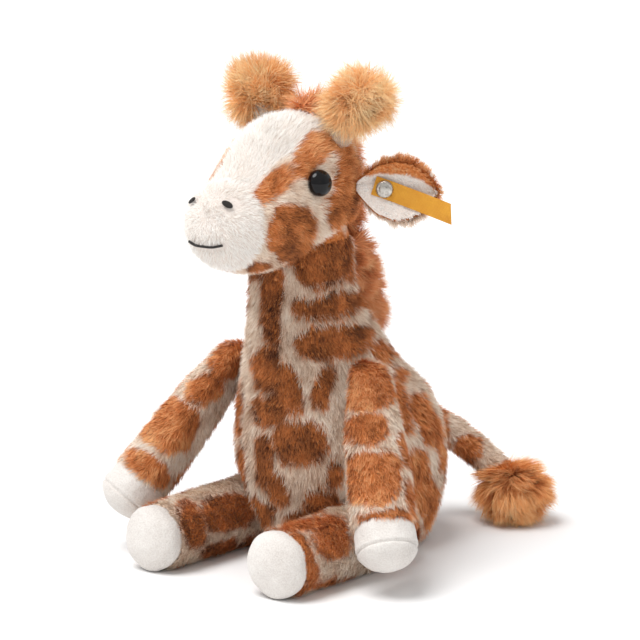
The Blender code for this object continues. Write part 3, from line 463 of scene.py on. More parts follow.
def metal_material():
    """Worn nickel plating."""
    nodes = Nodes("nickel")
    cloud = nodes.noise(METAL_CLOUD, 4.0)
    wear = nodes.math("ADD", nodes.weigh((cloud, 0.3)), 0.15)
    stops = ((0.3, (0.30, 0.27, 0.24)), (0.7, (0.66, 0.63, 0.58)))
    return nodes.surface(cloud, METAL_RELIEF, stops, Metallic=1.0, Roughness=wear)


def washer_material():
    """Moulded white plastic."""
    nodes = Nodes("washer_plastic")
    stops = ((0.2, (0.66, 0.66, 0.63)), (0.8, (0.78, 0.78, 0.75)))
    return nodes.surface(nodes.noise(WASHER_CLOUD), WASHER_RELIEF, stops, Roughness=0.45)


def ribbon_material():
    """Woven yellow ribbon: warp and weft from the places kept on its points."""
    nodes = Nodes("yellow_ribbon")
    seen = nodes.add("ShaderNodeAttribute", attribute_name="weave")
    threads = []
    for way in ("Y", "X"):
        wave = nodes.add("ShaderNodeTexWave", Vector=seen.outputs["Vector"], Scale=RIBBON_WEAVE,
                         Distortion=0.4, bands_direction=way)
        threads.append(wave.outputs["Fac"])
    woven = nodes.math("MULTIPLY", *threads)
    mixed = nodes.weigh((woven, 0.4), (nodes.noise(RIBBON_CLOUD), 0.6))
    stops = ((0.15, (0.72, 0.27, 0.012)), (0.5, (0.90, 0.42, 0.028)), (0.85, (0.97, 0.54, 0.060)))
    nodes.set(Base_Color=nodes.ramp(mixed, stops), Roughness=0.6, Sheen_Weight=0.05)
    nodes.bump(woven, WEAVE_RELIEF)
    return nodes.material


# The coat's patches: middle, half sizes and tilt in the picture's pixels and degrees

HEAD_PATCHES = (
    (308, 153, 15, 22, 28), (336, 142, 20, 14, 12), (346, 176, 15, 32, 0), (340, 210, 17, 19, 10),
    (270, 186, 25, 11, -40), (303, 172, 12, 7, -20), (290, 232, 23, 30, 8), (257, 266, 12, 6, 0),
    (236, 143, 8, 34, 32), (222, 118, 12, 12, 0), (352, 118, 9, 14, 0),
)
BODY_PATCHES = (
    (322, 256, 30, 28, -20), (273, 290, 12, 26, 4), (272, 326, 9, 18, -14), (262, 266, 16, 10, 0),
    (300, 304, 8, 12, 0), (329, 303, 31, 13, -12), (332, 339, 37, 18, -8), (268, 366, 13, 24, 0),
    (288, 386, 14, 26, -24), (271, 408, 17, 16, 0), (324, 384, 9, 24, 14), (300, 440, 27, 23, 0),
    (264, 456, 9, 26, 0), (277, 484, 10, 20, -30), (243, 464, 6, 22, 0), (322, 497, 17, 11, 0),
    (313, 513, 30, 8, -3), (258, 508, 18, 14, 20), (334, 472, 8, 14, 0), (241, 405, 5, 27, 0),
    (398, 404, 9, 27, -18), (424, 417, 11, 29, -24), (417, 468, 11, 24, -6), (421, 492, 16, 18, 10),
    (446, 462, 8, 28, -14), (436, 508, 20, 8, -50), (378, 350, 8, 12, -30), (372, 300, 10, 16, 0),
    (362, 405, 14, 24, 0), (364, 468, 16, 26, 0), (372, 530, 22, 18, 0), (396, 372, 8, 8, 0),
    (350, 252, 8, 26, 0),
)
ARM_LEFT_PATCHES = (
    (365, 382, 27, 28, -10), (367, 427, 20, 16, -8), (372, 475, 29, 28, 0), (384, 514, 27, 8, -4),
    (403, 446, 6, 18, -10), (411, 494, 5, 18, -8), (401, 402, 5, 16, -12),
)
ARM_RIGHT_PATCHES = (
    (231, 360, 21, 14, -38), (207, 386, 19, 14, -30), (173, 423, 25, 28, 32), (150, 465, 12, 25, -54),
    (230, 424, 10, 22, 44), (195, 470, 11, 25, 44),
)
LEG_LEFT_PATCHES = (
    (333, 537, 18, 22, -6), (305, 558, 10, 30, -20), (308, 524, 36, 6, -6), (335, 583, 22, 6, -14),
    (302, 590, 10, 5, -14), (390, 560, 14, 10, 0), (417, 545, 10, 17, 0), (372, 528, 14, 14, 0),
)
LEG_RIGHT_PATCHES = (
    (193, 524, 12, 24, -16), (229, 512, 27, 18, -8), (224, 554, 22, 14, -24), (182, 570, 12, 5, -20),
    (256, 545, 12, 12, 0),
)
TAIL_PATCHES = (
    (438, 424, 8, 22, -18), (465, 448, 13, 14, 10), (508, 472, 9, 14, -24),
)
PATCH_POWER = 2.6
PATCH_EDGE = 3.0
PATCH_GROWTH = 0.3
PATCH_OUTSIDE = -50.0

# How a laid patch's edge wanders: size of the noise in metres and reach in pixels
WANDER = ((0.0065, 2.6), (0.0022, 1.5))

# The uneven lattice of cells, metres, and where in its cell a cell's middle may lie
CELL_SIZE = 0.021
CELL_GAP = 0.0017
CELL_EDGE = 0.0011
CELL_WARP_SIZE, CELL_WARP = 0.012, 0.0025
CELL_MARGIN_SHARE, CELL_ROOM_SHARE = 0.15, 0.7

# How squarely a skin faces the camera where its laid patches begin and where they are full
FACING_LOW, FACING_HIGH = 0.02, 0.20


def laid_patches(points, patches, seed):
    """How far inside the nearest laid patch each point is, in pixels of the picture."""
    columns, rows = picture_places(points)
    for step, (size, reach) in enumerate(WANDER):
        columns = columns + noise(points, size, seed + step) * reach
        rows = rows + noise(points, size, seed + 2 + step) * reach
    best = np.full(len(points), PATCH_OUTSIDE)
    for middle_u, middle_v, half_u, half_v, tilt in patches:
        turn = math.radians(tilt)
        across = (columns - middle_u) * math.cos(turn) + (rows - middle_v) * math.sin(turn)
        down = (rows - middle_v) * math.cos(turn) - (columns - middle_u) * math.sin(turn)
        far = (np.abs(across / half_u) ** PATCH_POWER + np.abs(down / half_v) ** PATCH_POWER)
        inside = (1 - far ** (1 / PATCH_POWER)) * min(half_u, half_v)
        best = np.maximum(best, inside)
    return best


def cell_patches(points, seed):
    """How far each point is from the nearest border between the cells of an uneven lattice."""
    warped = points + noise_vectors(points, CELL_WARP_SIZE, seed) * CELL_WARP
    cell = np.floor(warped / CELL_SIZE).astype(np.int64)
    first = second = np.full(len(points), math.inf)
    for step in product((-1, 0, 1), repeat=3):
        near = cell + np.array(step)
        shift = np.stack([lattice(near, seed + 5 + i) for i in range(3)], axis=1)
        middle = (near + CELL_MARGIN_SHARE + CELL_ROOM_SHARE * shift) * CELL_SIZE
        far = np.linalg.norm(middle - warped, axis=1)
        second = np.minimum(second, np.maximum(first, far))
        first = np.minimum(first, far)
    return (second - first) / 2 - CELL_GAP


def coat(points, normals, patches, seed):
    """Patch shares: laid patches where the skin faces the picture, and a cell pattern elsewhere."""
    towards = unit(np.array(EYE) - points)
    facing = smooth_step(FACING_LOW, FACING_HIGH, (normals * towards).sum(axis=1))
    laid = smooth_step(-PATCH_EDGE, PATCH_EDGE, laid_patches(points, patches, seed) + PATCH_GROWTH)
    cells = smooth_step(-CELL_EDGE, CELL_EDGE, cell_patches(points, seed))
    return laid * facing + cells * (1 - facing)


# Skins

def skin_from(name, node, finish, swell=COVER, voxel=VOXEL):
    """A smooth closed skin that follows a stuffed solid of the frame."""
    holder = bpy.data.objects.new(name, frame["nodes"][node].data.copy())
    bpy.context.scene.collection.objects.link(holder)
    remesh = holder.modifiers.new("remesh", "REMESH")
    remesh.mode = "VOXEL"
    remesh.voxel_size = voxel
    bpy.context.view_layer.update()
    mesh = bpy.data.meshes.new_from_object(holder.evaluated_get(bpy.context.evaluated_depsgraph_get()))
    bpy.data.objects.remove(holder, do_unlink=True)
    points, triangles, _ = arrays(mesh)
    edges = np.empty(len(mesh.edges) * 2, dtype=np.int64)
    mesh.edges.foreach_get("vertices", edges)
    edges = edges.reshape(-1, 2)
    counts = np.bincount(edges.ravel(), minlength=len(points))[:, None]
    for _ in range(SMOOTHING):
        total = np.zeros_like(points)
        np.add.at(total, edges[:, 0], points[edges[:, 1]])
        np.add.at(total, edges[:, 1], points[edges[:, 0]])
        points = points * (1 - RELAX_SHARE) + total / np.maximum(counts, 1) * RELAX_SHARE
    made = mesh_object(name, points, triangles, finish)
    bpy.data.meshes.remove(mesh)
    points, _, normals = arrays(made.data)
    move_points(made, points + normals * swell)
    return made


def move_points(made, points):
    """Put a mesh's points in new places, none of them under the floor."""
    points[:, 2] = np.maximum(points[:, 2], FLOOR_CLEARANCE)
    made.data.vertices.foreach_set("co", points.astype(np.float32).ravel())
    made.data.update()


def finish_skin(made, patches, seed, white=None):
    """Colour a skin by its patches."""
    points, _, normals = arrays(made.data)
    shares = coat(points, normals, patches, seed) if patches else np.ones(len(points))
    whiteness = white(points) if white else np.zeros(len(points))
    none = np.zeros(len(points))
    tone(made, np.stack([shares * (1 - whiteness), none, none + BACKING_CHANCE, whiteness], axis=1))


# Fur

DENSITY = 1.0


def scatter(made, count, rng):
    points, triangles, normals = arrays(made.data)
    a, b, c = (points[triangles[:, i]] for i in range(3))
    count = int(DENSITY * count)
    areas = np.linalg.norm(np.cross(b - a, c - a), axis=1)
    picked = rng.choice(len(triangles), count, p=areas / areas.sum())
    r, s = np.sqrt(rng.random(count)), rng.random(count)
    shares = np.stack([1 - r, r * (1 - s), r * s], axis=1)
    place = sum(points[triangles[picked, i]] * shares[:, i:i + 1] for i in range(3))
    facing = sum(normals[triangles[picked, i]] * shares[:, i:i + 1] for i in range(3))
    return place, unit(facing)


RAY_LIFT = 0.0002


def unblocked(points, normals, trees, reach):
    """Which roots have room above them."""
    free = np.ones(len(points), dtype=bool)
    for i, (point, normal) in enumerate(zip(points, normals)):
        start = Vector(point + normal * RAY_LIFT)
        ray = Vector(normal)
        for tree in trees:
            if tree.ray_cast(start, ray, reach)[0] is not None:
                free[i] = False
                break
    return free


# How much darker the coat is coloured, or less than none where it is paler, and how much of that the cream
# takes: partly dyed darker and partly painted shade on the front, painted shade on the cheeks and behind,
# painted light on the brow and the far arm, and paler on the ears
# Partly dyed darker and partly painted shade on the front of the body, between the arms and under the head
FRONT_DYE_AND_PAINTED_SHADE = 0.92
# Painted shade on the cheeks and lower head, painted light on the brow, and paler on the ears
CHEEK_PAINTED_SHADE = 0.24
BROW_PAINTED_LIGHT = -0.14
EAR_PALING = -0.35
# Painted light on the far side above the legs, mostly on the far arm, which lies in shade
FAR_ARM_PAINTED_LIGHT = -0.34
# Painted shade on the tail and its tuft
TUFT_PAINTED_SHADE = 0.26
# On the cream, which is not dyed, the front's darkening is painted shade only
CREAM_SHARE = 0.30

# Places between which the dyeing, painted shade, painted light and paling come in, metres out to the side,
# backward or up
MIDDLE_BAND = (0.034, 0.020)
FRONT_BAND = (0.010, -0.012)
FRONT_SLOPE_SHARE = 0.10
CHIN_BAND = (-0.004, 0.012)
CHEEK_BAND = (0.040, 0.022)
EAR_BAND = (0.027, 0.031)
FAR_SIDE_BAND = (-0.040, -0.046)
ABOVE_LEG_BAND = (0.030, 0.038)
TUFT_BAND = (0.056, 0.064)


def painted_shade_light_and_dye(points):
    """How much darker the coat is coloured: most on the front, partly dyed and partly painted shade; painted
    shade on the cheeks and behind; less than none as painted light on the brow and the far arm, and as
    paling on the ears.
    """
    side, back, rise = points.T
    middle = smooth_step(*MIDDLE_BAND, np.abs(side))
    front = smooth_step(*FRONT_BAND, back + rise * FRONT_SLOPE_SHARE)
    far_arm = smooth_step(*FAR_SIDE_BAND, side) * smooth_step(*ABOVE_LEG_BAND, rise)
    # Below the chin: the front dyed darker with painted shade, painted light on the far arm, painted shade
    # behind
    lower = FRONT_DYE_AND_PAINTED_SHADE * middle * front + FAR_ARM_PAINTED_LIGHT * far_arm + TUFT_PAINTED_SHADE * smooth_step(*TUFT_BAND, back)
    # On the head: painted light on the brow, painted shade on the cheeks, paler on the ears
    head = BROW_PAINTED_LIGHT + (CHEEK_PAINTED_SHADE - BROW_PAINTED_LIGHT) * smooth_step(*CHEEK_BAND, rise - NECK_CENTRE.z)
    head = head + (EAR_PALING - head) * smooth_step(*EAR_BAND, np.abs(side))
    above = smooth_step(*CHIN_BAND, rise - NECK_CENTRE.z)
    return lower * (1 - above) + head * above


# How strands grow: sizes of the noises in metres, shares of a strand's direction, and angles in radians
ROOT_DEPTH = 0.0004
SWIRL_SIZE, SWIRL_SHARE = 0.0045, 0.55
LEAN_SIZE, LEAN_SHARE, LEAN_CHANCE = 0.005, 0.15, 0.12
LEAN_LIMITS = (0.08, 1.35)
CLUMP_MARGIN_SHARE, CLUMP_ROOM_SHARE = 0.2, 0.6
BEND_SHARE = 0.55
CURL_SIZE = 0.003
TAPER_POWER = 1.6
SHADE_SIZE, SHADE_SHARE = 0.0035, 0.35
CHANCE_LOW, CHANCE_ROOM = 0.15, 0.7
LENGTH_LIMITS = (0.72, 1.22)
ROOM_ABOVE = 0.0030


def strands(name, roots, normals, flow, lengths, finish, rng, tones, *, rise=0.66, width=0.00028,
            steps=2, curl=0.30, clump=0.60, clump_size=0.0024, spread=0.24, tousle=0.28):
    """Flat tapered strands that rise from a skin and bend over along a flow."""
    count = len(roots)
    normals = unit(normals)
    swirl = noise_vectors(roots, SWIRL_SIZE, 77) * SWIRL_SHARE + rng.normal(0, spread, (count, 3))
    side = flow + swirl
    side = unit(side - normals * (side * normals).sum(axis=1, keepdims=True))
    lean = rise + rng.normal(0, LEAN_CHANCE, count) + noise(roots, LEAN_SIZE, 31) * LEAN_SHARE
    lean = np.clip(lean, *LEAN_LIMITS)[:, None]
    cell = np.floor(roots / clump_size)
    jitter = np.stack([lattice(cell.astype(np.int64), 40 + i) for i in range(3)], axis=1)
    pull = (cell + CLUMP_MARGIN_SHARE + CLUMP_ROOM_SHARE * jitter) * clump_size - roots
    pull -= normals * (pull * normals).sum(axis=1, keepdims=True)
    start = unit(normals * np.sin(lean) + side * np.cos(lean) + (jitter - 0.5) * tousle)
    finish_way = unit(start + side * BEND_SHARE + noise_vectors(roots, CURL_SIZE, 91) * curl)
    turn = rng.uniform(-1.0, 1.0, count)[:, None]
    across = unit(np.cross(start, normals) + 1e-9)
    across = across * np.cos(turn) + np.cross(start, across) * np.sin(turn)
    lengths = lengths[:, None]
    rows, marks = [], []
    for step in range(steps + 1):
        t = step / steps
        spine = roots - normals * ROOT_DEPTH + lengths * t * (start * (1 - t / 2) + finish_way * t / 2)
        spine = spine + pull * clump * t * t
        spine[:, 2] = np.maximum(spine[:, 2], FLOOR_CLEARANCE)
        half = across * (width / 2) * (1 - t ** TAPER_POWER)
        rows += [spine - half, spine + half] if step < steps else [spine]
        marks += [t, t] if step < steps else [t]
    per = len(rows)
    points = np.stack(rows, axis=1).reshape(-1, 3)
    faces = []
    for step in range(steps - 1):
        k = step * 2
        faces += [(k, k + 1, k + 3), (k, k + 3, k + 2)]
    k = (steps - 1) * 2
    faces.append((k, k + 1, k + 2))
    triangles = (np.arange(count)[:, None, None] * per + np.array(faces)[None]).reshape(-1, 3)
    made = mesh_object(name, points, triangles, finish)
    patch, white = tones
    chance_dye_and_painted_light = rng.random(count) * CHANCE_ROOM + CHANCE_LOW + noise(roots, SHADE_SIZE, 55) * SHADE_SHARE
    # Painted shade and painted light, with the front's darker dyeing, shift each strand's tone; the cream
    # takes a share, the white none
    chance_dye_and_painted_light -= painted_shade_light_and_dye(roots) * (CREAM_SHARE + (1 - CREAM_SHARE) * patch) * (1 - white)
    chance_dye_and_painted_light = np.clip(chance_dye_and_painted_light, 0, 1)
    values = np.stack([np.repeat(patch, per), np.tile(np.array(marks), count), np.repeat(chance_dye_and_painted_light, per),
                       np.repeat(white, per)], axis=1)
    tone(made, values)
    return made


def along_flow(direction):
    """Along one direction."""
    def flow(points):
        return np.tile(np.array([tuple(direction)]), (len(points), 1))
    return flow


make_camera()
BROWN_PILE = pile_material("patched_pile", BROWN)
BROWN_SKIN = skin_material("patched_backing", BROWN)
GOLD_PILE = pile_material("golden_pile", GOLD)
GOLD_SKIN = skin_material("golden_backing", GOLD)
UMBER_PILE = pile_material("mane_pile", UMBER)
UMBER_SKIN = skin_material("mane_backing", UMBER)
SUEDE = suede_material()
EYE_GLOSS = eye_material()
THREAD = thread_material()
METAL = metal_material()
WASHER = washer_material()
RIBBON = ribbon_material()


# Body, head and limbs

def ride(piece, body, slot=None, replaced=()):
    """Attach a piece to a body and hide the frame's solids that it replaces."""
    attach(piece, body)
    if replaced:
        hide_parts(*replaced)


class Limb:
    """A straight limb's frame and outline, the same as the frame's solids."""

    def __init__(self, root, along, length, body, radius, tip, dome, cap):
        self.root, self.along, self.length, self.body = root, along, length, body
        self.radius, self.tip, self.dome = radius, tip, dome
        self.seam = length + dome - cap

    def outline(self, place):
        """Radius at a place along the limb."""
        if place > self.length:
            share = min((place - self.length) / self.dome, 1.0)
            return self.tip * math.sqrt(max(1 - share * share, 0.0))
        share = place / self.length
        table = (*self.body, (1.0, self.tip / self.radius))
        for low, high in zip(table, table[1:]):
            if share <= high[0]:
                part = (share - low[0]) / (high[0] - low[0])
                return self.radius * (low[1] + (high[1] - low[1]) * part)
        return self.tip

    def place(self, points):
        """How far along the limb points are."""
        return (points - np.array(self.root)) @ np.array(self.along)


ARM_BODY = ((0.0, 0.81), (0.25, 0.95), (0.55, 1.0), (0.85, 0.985))
LEG_BODY = ((0.0, 1.0), (0.30, 1.0), (0.60, 0.985), (0.85, 0.96))
ARM_LEAN = 18.5
ARM_ANGLES = {"left": (23.0, 9.5), "right": (32.0, 7.5)}
SHOULDER = rounded(joint_place("arm_left_swing"))
HIP = joint_place("leg_left_swing")


def arm_direction(sign, lift, splay):
    """Where an arm points: down the flank, lifted forward and splayed outward."""
    lean, lift, splay = (math.radians(angle) for angle in (ARM_LEAN, lift, splay))
    axis = Vector((sign * math.cos(lean), 0, math.sin(lean)))
    down = Vector((math.sin(lean) * sign, 0, -math.cos(lean)))
    swing = down * math.cos(lift) + Vector((0, -1, 0)) * math.sin(lift)
    return swing * math.cos(splay) + axis * math.sin(splay)


def mirrored(point, sign):
    """A left-hand place on its own side or the other."""
    return Vector((point.x * sign, point.y, point.z))


# Length, outline, radius, radius of the tip, height of the tip's dome and length of the cap
ARM_SIZES = (0.076, ARM_BODY, 0.0135, 0.0133, 0.0095, 0.0195)
LEG_SIZES = (0.077, LEG_BODY, 0.0152, 0.0145, 0.0070, 0.0115)
LIMBS = {}
for side, sign in SIDES:
    down_arm = arm_direction(sign, *ARM_ANGLES[side])
    LIMBS[f"arm_{side}"] = Limb(mirrored(SHOULDER, sign), down_arm, *ARM_SIZES)
    LIMBS[f"leg_{side}"] = Limb(mirrored(HIP, sign), Vector((0, -1, 0)), *LEG_SIZES)
CAP_STEPS = 64
CAP_AROUND = 96
CAP_SEAM_PINCH = 0.0009
CAP_SEAM_WIDTH = 0.0016
END_SEAM_DEPTH = 0.0010
END_SEAM_WIDTH = 0.0006
END_SEAM_PAST = 0.0012
CAP_TUCK = 0.0016
CAP_INNER_SHARE = 0.86
CAP_END_SHARE = 0.985
CAP_CLEARANCE = 0.0024
CAP_SWELLS = ((0.0085, 12, 0.0006), (0.0030, 13, 0.0002))
COAT_EDGE_LOW, COAT_EDGE_HIGH = -0.0005, 0.0010
PILE_PAST_SEAM = 0.0006


def make_cap(name, limb, arm):
    """A suede end cap with a turned-in edge, and a seam round the sole on an arm."""
    up = Vector((0, 0, 1)) - limb.along * limb.along.z
    up.normalize()
    across = limb.along.cross(up)
    end = limb.length + limb.dome
    rows = []
    for step in range(CAP_STEPS):
        share = step / (CAP_STEPS - 1)
        place = limb.seam + (end - limb.seam) * math.sin(share * math.pi / 2 * CAP_END_SHARE)
        radius = limb.outline(place)
        radius -= CAP_SEAM_PINCH * math.exp(-((place - limb.seam) / CAP_SEAM_WIDTH) ** 2)
        if arm:
            past = (place - limb.length - END_SEAM_PAST) / END_SEAM_WIDTH
            radius -= END_SEAM_DEPTH * math.exp(-past * past)
        rows.append(ring(limb.root + limb.along * place, across * radius, up * radius, CAP_AROUND))
    seam = limb.root + limb.along * limb.seam
    edge = limb.root + limb.along * (limb.seam + CAP_TUCK)
    inner = [edge + (point - seam) * CAP_INNER_SHARE for point in rows[0]]
    made = grid_object(name, [inner, *rows], SUEDE, tip=limb.root + limb.along * end, base=edge)
    points, _, normals = arrays(made.data)
    swell = sum(noise(points, size, seed) * reach for size, seed, reach in CAP_SWELLS)
    move_points(made, points + normals * swell[:, None])
    return made


# Where the white begins: forward places from the neck's middle, half widths and how sharp the edges are
MUZZLE_SEAM = 0.0495
MUZZLE_EDGE = 0.0015
MUZZLE_LEAN, LEAN_TOP, LEAN_BOTTOM = 0.0016, 0.030, 0.015
MUZZLE_WANDER_SIZE, MUZZLE_WANDER = 0.006, 0.0012
BLAZE_EDGE = 0.0010
BLAZE_BOTTOM = 0.020
BLAZE_START_LOW, BLAZE_START_HIGH = -0.008, -0.002
BLAZE_WANDER_SIZE, BLAZE_WANDER = 0.005, 0.0011
BLAZE = ((-0.004, 0.0125), (0.005, 0.0145), (0.017, 0.0160), (0.025, 0.0162), (0.033, 0.0142),
         (0.038, 0.0126), (0.048, 0.0118))


def head_whiteness(points):
    """White on the muzzle and on the forehead's blaze, cream elsewhere."""
    local = points - np.array(NECK_CENTRE)
    forward = -local[:, 1]
    edge = forward + noise(points, MUZZLE_WANDER_SIZE, 8) * MUZZLE_WANDER
    edge -= MUZZLE_LEAN * smooth_step(LEAN_TOP, LEAN_BOTTOM, local[:, 2])
    muzzle = smooth_step(-MUZZLE_EDGE, MUZZLE_EDGE, edge - MUZZLE_SEAM)
    widths = np.interp(forward, *zip(*BLAZE))
    side = np.abs(local[:, 0]) + noise(points, BLAZE_WANDER_SIZE, 9) * BLAZE_WANDER
    blaze = 1 - smooth_step(-BLAZE_EDGE, BLAZE_EDGE, side - widths)
    blaze = blaze * smooth_step(BLAZE_START_LOW, BLAZE_START_HIGH, forward)
    return np.maximum(muzzle, blaze * (local[:, 2] > BLAZE_BOTTOM))


SEAM_DEPTH = 0.0012
SEAM_SPREAD = 0.0022


def pinch_muzzle(made):
    """Draw the head's skin in along the seam of the muzzle."""
    points, _, normals = arrays(made.data)
    off = (-points[:, 1] + NECK_CENTRE.y - MUZZLE_SEAM) / SEAM_SPREAD
    move_points(made, points - normals * (SEAM_DEPTH * np.exp(-off * off))[:, None])


def pile_on(name, skin, count, patches, seed, flow, length, trees, *, keep=None, white=None,
            finish=None, **shape):
    """Fur over a skin, coloured as the skin is."""
    rng = np.random.default_rng(seed)
    roots, normals = scatter(skin, count, rng)
    if keep is not None:
        kept = keep(roots, normals)
        roots, normals = roots[kept], normals[kept]
    free = unblocked(roots, normals, trees, ROOM_ABOVE)
    roots, normals = roots[free], normals[free]
    patch = coat(roots, normals, patches, seed) if patches else np.ones(len(roots))
    whiteness = white(roots) if white else np.zeros(len(roots))
    lengths = length(roots) if callable(length) else np.full(len(roots), length)
    lengths = lengths * rng.uniform(*LENGTH_LIMITS, len(roots))
    return strands(name, roots, normals, flow(roots), lengths, finish or BROWN_PILE, rng,
                   (patch * (1 - whiteness), whiteness), **shape)


def tree_of(made):
    """A tree for finding what a ray meets."""
    points, triangles, _ = arrays(made.data)
    return BVHTree.FromPolygons(points.tolist(), triangles.tolist())


body_skin = skin_from("body_coat", "body_filling", BROWN_SKIN)
finish_skin(body_skin, BODY_PATCHES, 1)
ride(body_skin, "body", "patterned_plush", ("body_cover", "body_filling"))

head_skin = skin_from("head_coat", "head_filling", BROWN_SKIN)
pinch_muzzle(head_skin)
finish_skin(head_skin, HEAD_PATCHES, 2, head_whiteness)
ride(head_skin, "head", "patterned_plush", ("head_cover", "forehead_panel", "muzzle_cover", "head_filling"))

LIMB_PATCHES = {"arm_left": ARM_LEFT_PATCHES, "arm_right": ARM_RIGHT_PATCHES,
                "leg_left": LEG_LEFT_PATCHES, "leg_right": LEG_RIGHT_PATCHES}
skins = {"body": body_skin, "head": head_skin}
caps = {}
for number, (name, limb) in enumerate(LIMBS.items()):
    kind, side = name.split("_")
    made = skin_from(f"{name}_coat", f"{kind}_filling_{side}", BROWN_SKIN)
    points, _, normals = arrays(made.data)
    under = smooth_step(COAT_EDGE_LOW, COAT_EDGE_HIGH, limb.place(points) - limb.seam)
    move_points(made, points - normals * (under * CAP_CLEARANCE)[:, None])
    finish_skin(made, LIMB_PATCHES[name], 10 + number)
    ride(made, name, "patterned_plush", (f"{kind}_cover_{side}", f"{kind}_filling_{side}"))
    skins[name] = made
    cap = make_cap(f"{name}_sole", limb, kind == "arm")
    ride(cap, name, "suede", (f"{kind}_hoof_cap_{side}",))
    caps[name] = cap

tail_skin = skin_from("tail_coat", "tail_filling", BROWN_SKIN, voxel=FINE_VOXEL)
finish_skin(tail_skin, TAIL_PATCHES, 20)
ride(tail_skin, "tail", "patterned_plush", ("tail_cover", "tail_filling"))
skins["tail"] = tail_skin

TREES = {name: tree_of(made) for name, made in skins.items()}
CAP_TREES = {name: tree_of(made) for name, made in caps.items()}


def others(name):
    """Trees of every skin but one, and of every cap but its own."""
    near = [tree for other, tree in TREES.items() if other != name]
    return near + [tree for other, tree in CAP_TREES.items() if other != name]


# Fur of body, head and limbs

INSIDE_HEAD = 0.004
SEAT_TOP = 0.003
SEAT_FACING = -0.7
BODY_SPREAD = 6
HALVES = ((-1.0, 0.052), (0.052, 1.0))
BODY_ROOTS, HEAD_ROOTS, LIMB_ROOTS, TAIL_ROOTS = 128000, 66000, 40000, 14000


def above_seat(points, normals):
    """Leave out what the giraffe sits on and what is inside the head."""
    inside = points[:, 2] - NECK_CENTRE.z > INSIDE_HEAD
    return ~(inside | ((points[:, 2] < SEAT_TOP) & (normals[:, 2] < SEAT_FACING)))


def body_flow(points):
    """Down the body, and away from the middle of the front."""
    none = np.zeros(len(points))
    return np.stack([points[:, 0] * BODY_SPREAD, none, none - 1], axis=1)


for part, (low, high) in enumerate(HALVES):
    def in_band(points, normals, low=low, high=high):
        """The half of the body between two heights."""
        return above_seat(points, normals) & (points[:, 2] > low) & (points[:, 2] <= high)

    pile = pile_on(f"body_pile_{part + 1}", body_skin, BODY_ROOTS, BODY_PATCHES, 101 + part,
                   body_flow, BODY_PILE, others("body"), keep=in_band)
    ride(pile, "body", "patterned_plush")

EYE_RADIUS = 0.0058
EYE_DOME, EYE_RIM = 0.0042, 0.0010


def eye_place(side):
    """The middle of an eye's back and where it looks, from its tip and the washer behind it."""
    washer = box_middle(f"eye_washer_{side}")
    points = arrays(frame["nodes"][f"eye_{side}"].data)[0]
    tip = Vector(points[np.linalg.norm(points - np.array(washer), axis=1).argmax()])
    facing = (tip - washer).normalized()
    return rounded(tip - facing * (EYE_DOME + EYE_RIM)), facing


EYES = [eye_place(side) for side, _ in SIDES]
NOSTRILS = [rounded(box_middle(f"nostril_{side}")) for side, _ in SIDES]
NOSTRIL_CLEAR = (0.0038, 0.0060, 0.0030)
MOUTH_CLEAR = 0.0015
MOUTH_FRONT = -0.080
MOUTH = arrays(frame["nodes"]["mouth_embroidery"].data)[0]
FAR_AWAY = 1.0
ROWS_AT_ONCE = 2000
EYE_OVERLAP = 0.0004
NECK_ROOM_TOP, NECK_ROOM_RADIUS = 0.021, 0.0228


def near_face(points):
    """How far each point is from the nearest eye's middle, and which points lie under embroidery."""
    far = np.full(len(points), FAR_AWAY)
    for middle, _ in EYES:
        far = np.minimum(far, np.linalg.norm(points - np.array(middle), axis=1))
    under = np.zeros(len(points), dtype=bool)
    for middle in NOSTRILS:
        offset = (points - np.array(middle)) / np.array(NOSTRIL_CLEAR)
        under |= np.linalg.norm(offset, axis=1) < 1
    front = np.where(points[:, 1] < MOUTH_FRONT)[0]
    for start in range(0, len(front), ROWS_AT_ONCE):
        rows = front[start:start + ROWS_AT_ONCE]
        gap = np.linalg.norm(points[rows, None] - MOUTH[None], axis=2).min(axis=1)
        under[rows] |= gap < MOUTH_CLEAR
    return far, under


def on_face(points, normals):
    """Leave out the eyes, the embroidery and the room for the neck."""
    local = points - np.array(NECK_CENTRE)
    far, under = near_face(points)
    inside = (local[:, 2] < NECK_ROOM_TOP) & (np.linalg.norm(local[:, :2], axis=1) < NECK_ROOM_RADIUS)
    return (far > EYE_RADIUS - EYE_OVERLAP) & ~under & ~inside


FACE_SPREAD = 12
BROW_RISE = 0.03
BROW_UP, CHEEK_DOWN = 0.1, -0.55
SHORT_BAND = (0.030, 0.046)
LID_START, LID_WIDTH = 0.0012, 0.0045
LID_LEAST_SHARE = 0.35


def face_flow(points):
    """From the nose backward, up over the forehead and down over the cheeks."""
    local = points - np.array(NECK_CENTRE)
    flow = np.zeros_like(points)
    flow[:, 1] = 1.0
    flow[:, 2] = np.where(local[:, 2] > BROW_RISE, BROW_UP, CHEEK_DOWN)
    flow[:, 0] = local[:, 0] * FACE_SPREAD
    return flow


def face_length(points):
    """Short on the muzzle and near the eyes, longer behind."""
    share = smooth_step(*SHORT_BAND, NECK_CENTRE.y - points[:, 1])
    far, _ = near_face(points)
    lengths = HEAD_PILE + (MUZZLE_PILE - HEAD_PILE) * share
    return lengths * np.clip((far - EYE_RADIUS + LID_START) / LID_WIDTH, LID_LEAST_SHARE, 1)


pile = pile_on("head_pile", head_skin, HEAD_ROOTS, HEAD_PATCHES, 103, face_flow, face_length,
               others("head"), keep=on_face, white=head_whiteness, width=0.00023, clump=0.40,
               clump_size=0.0020, tousle=0.18)
ride(pile, "head", "patterned_plush")

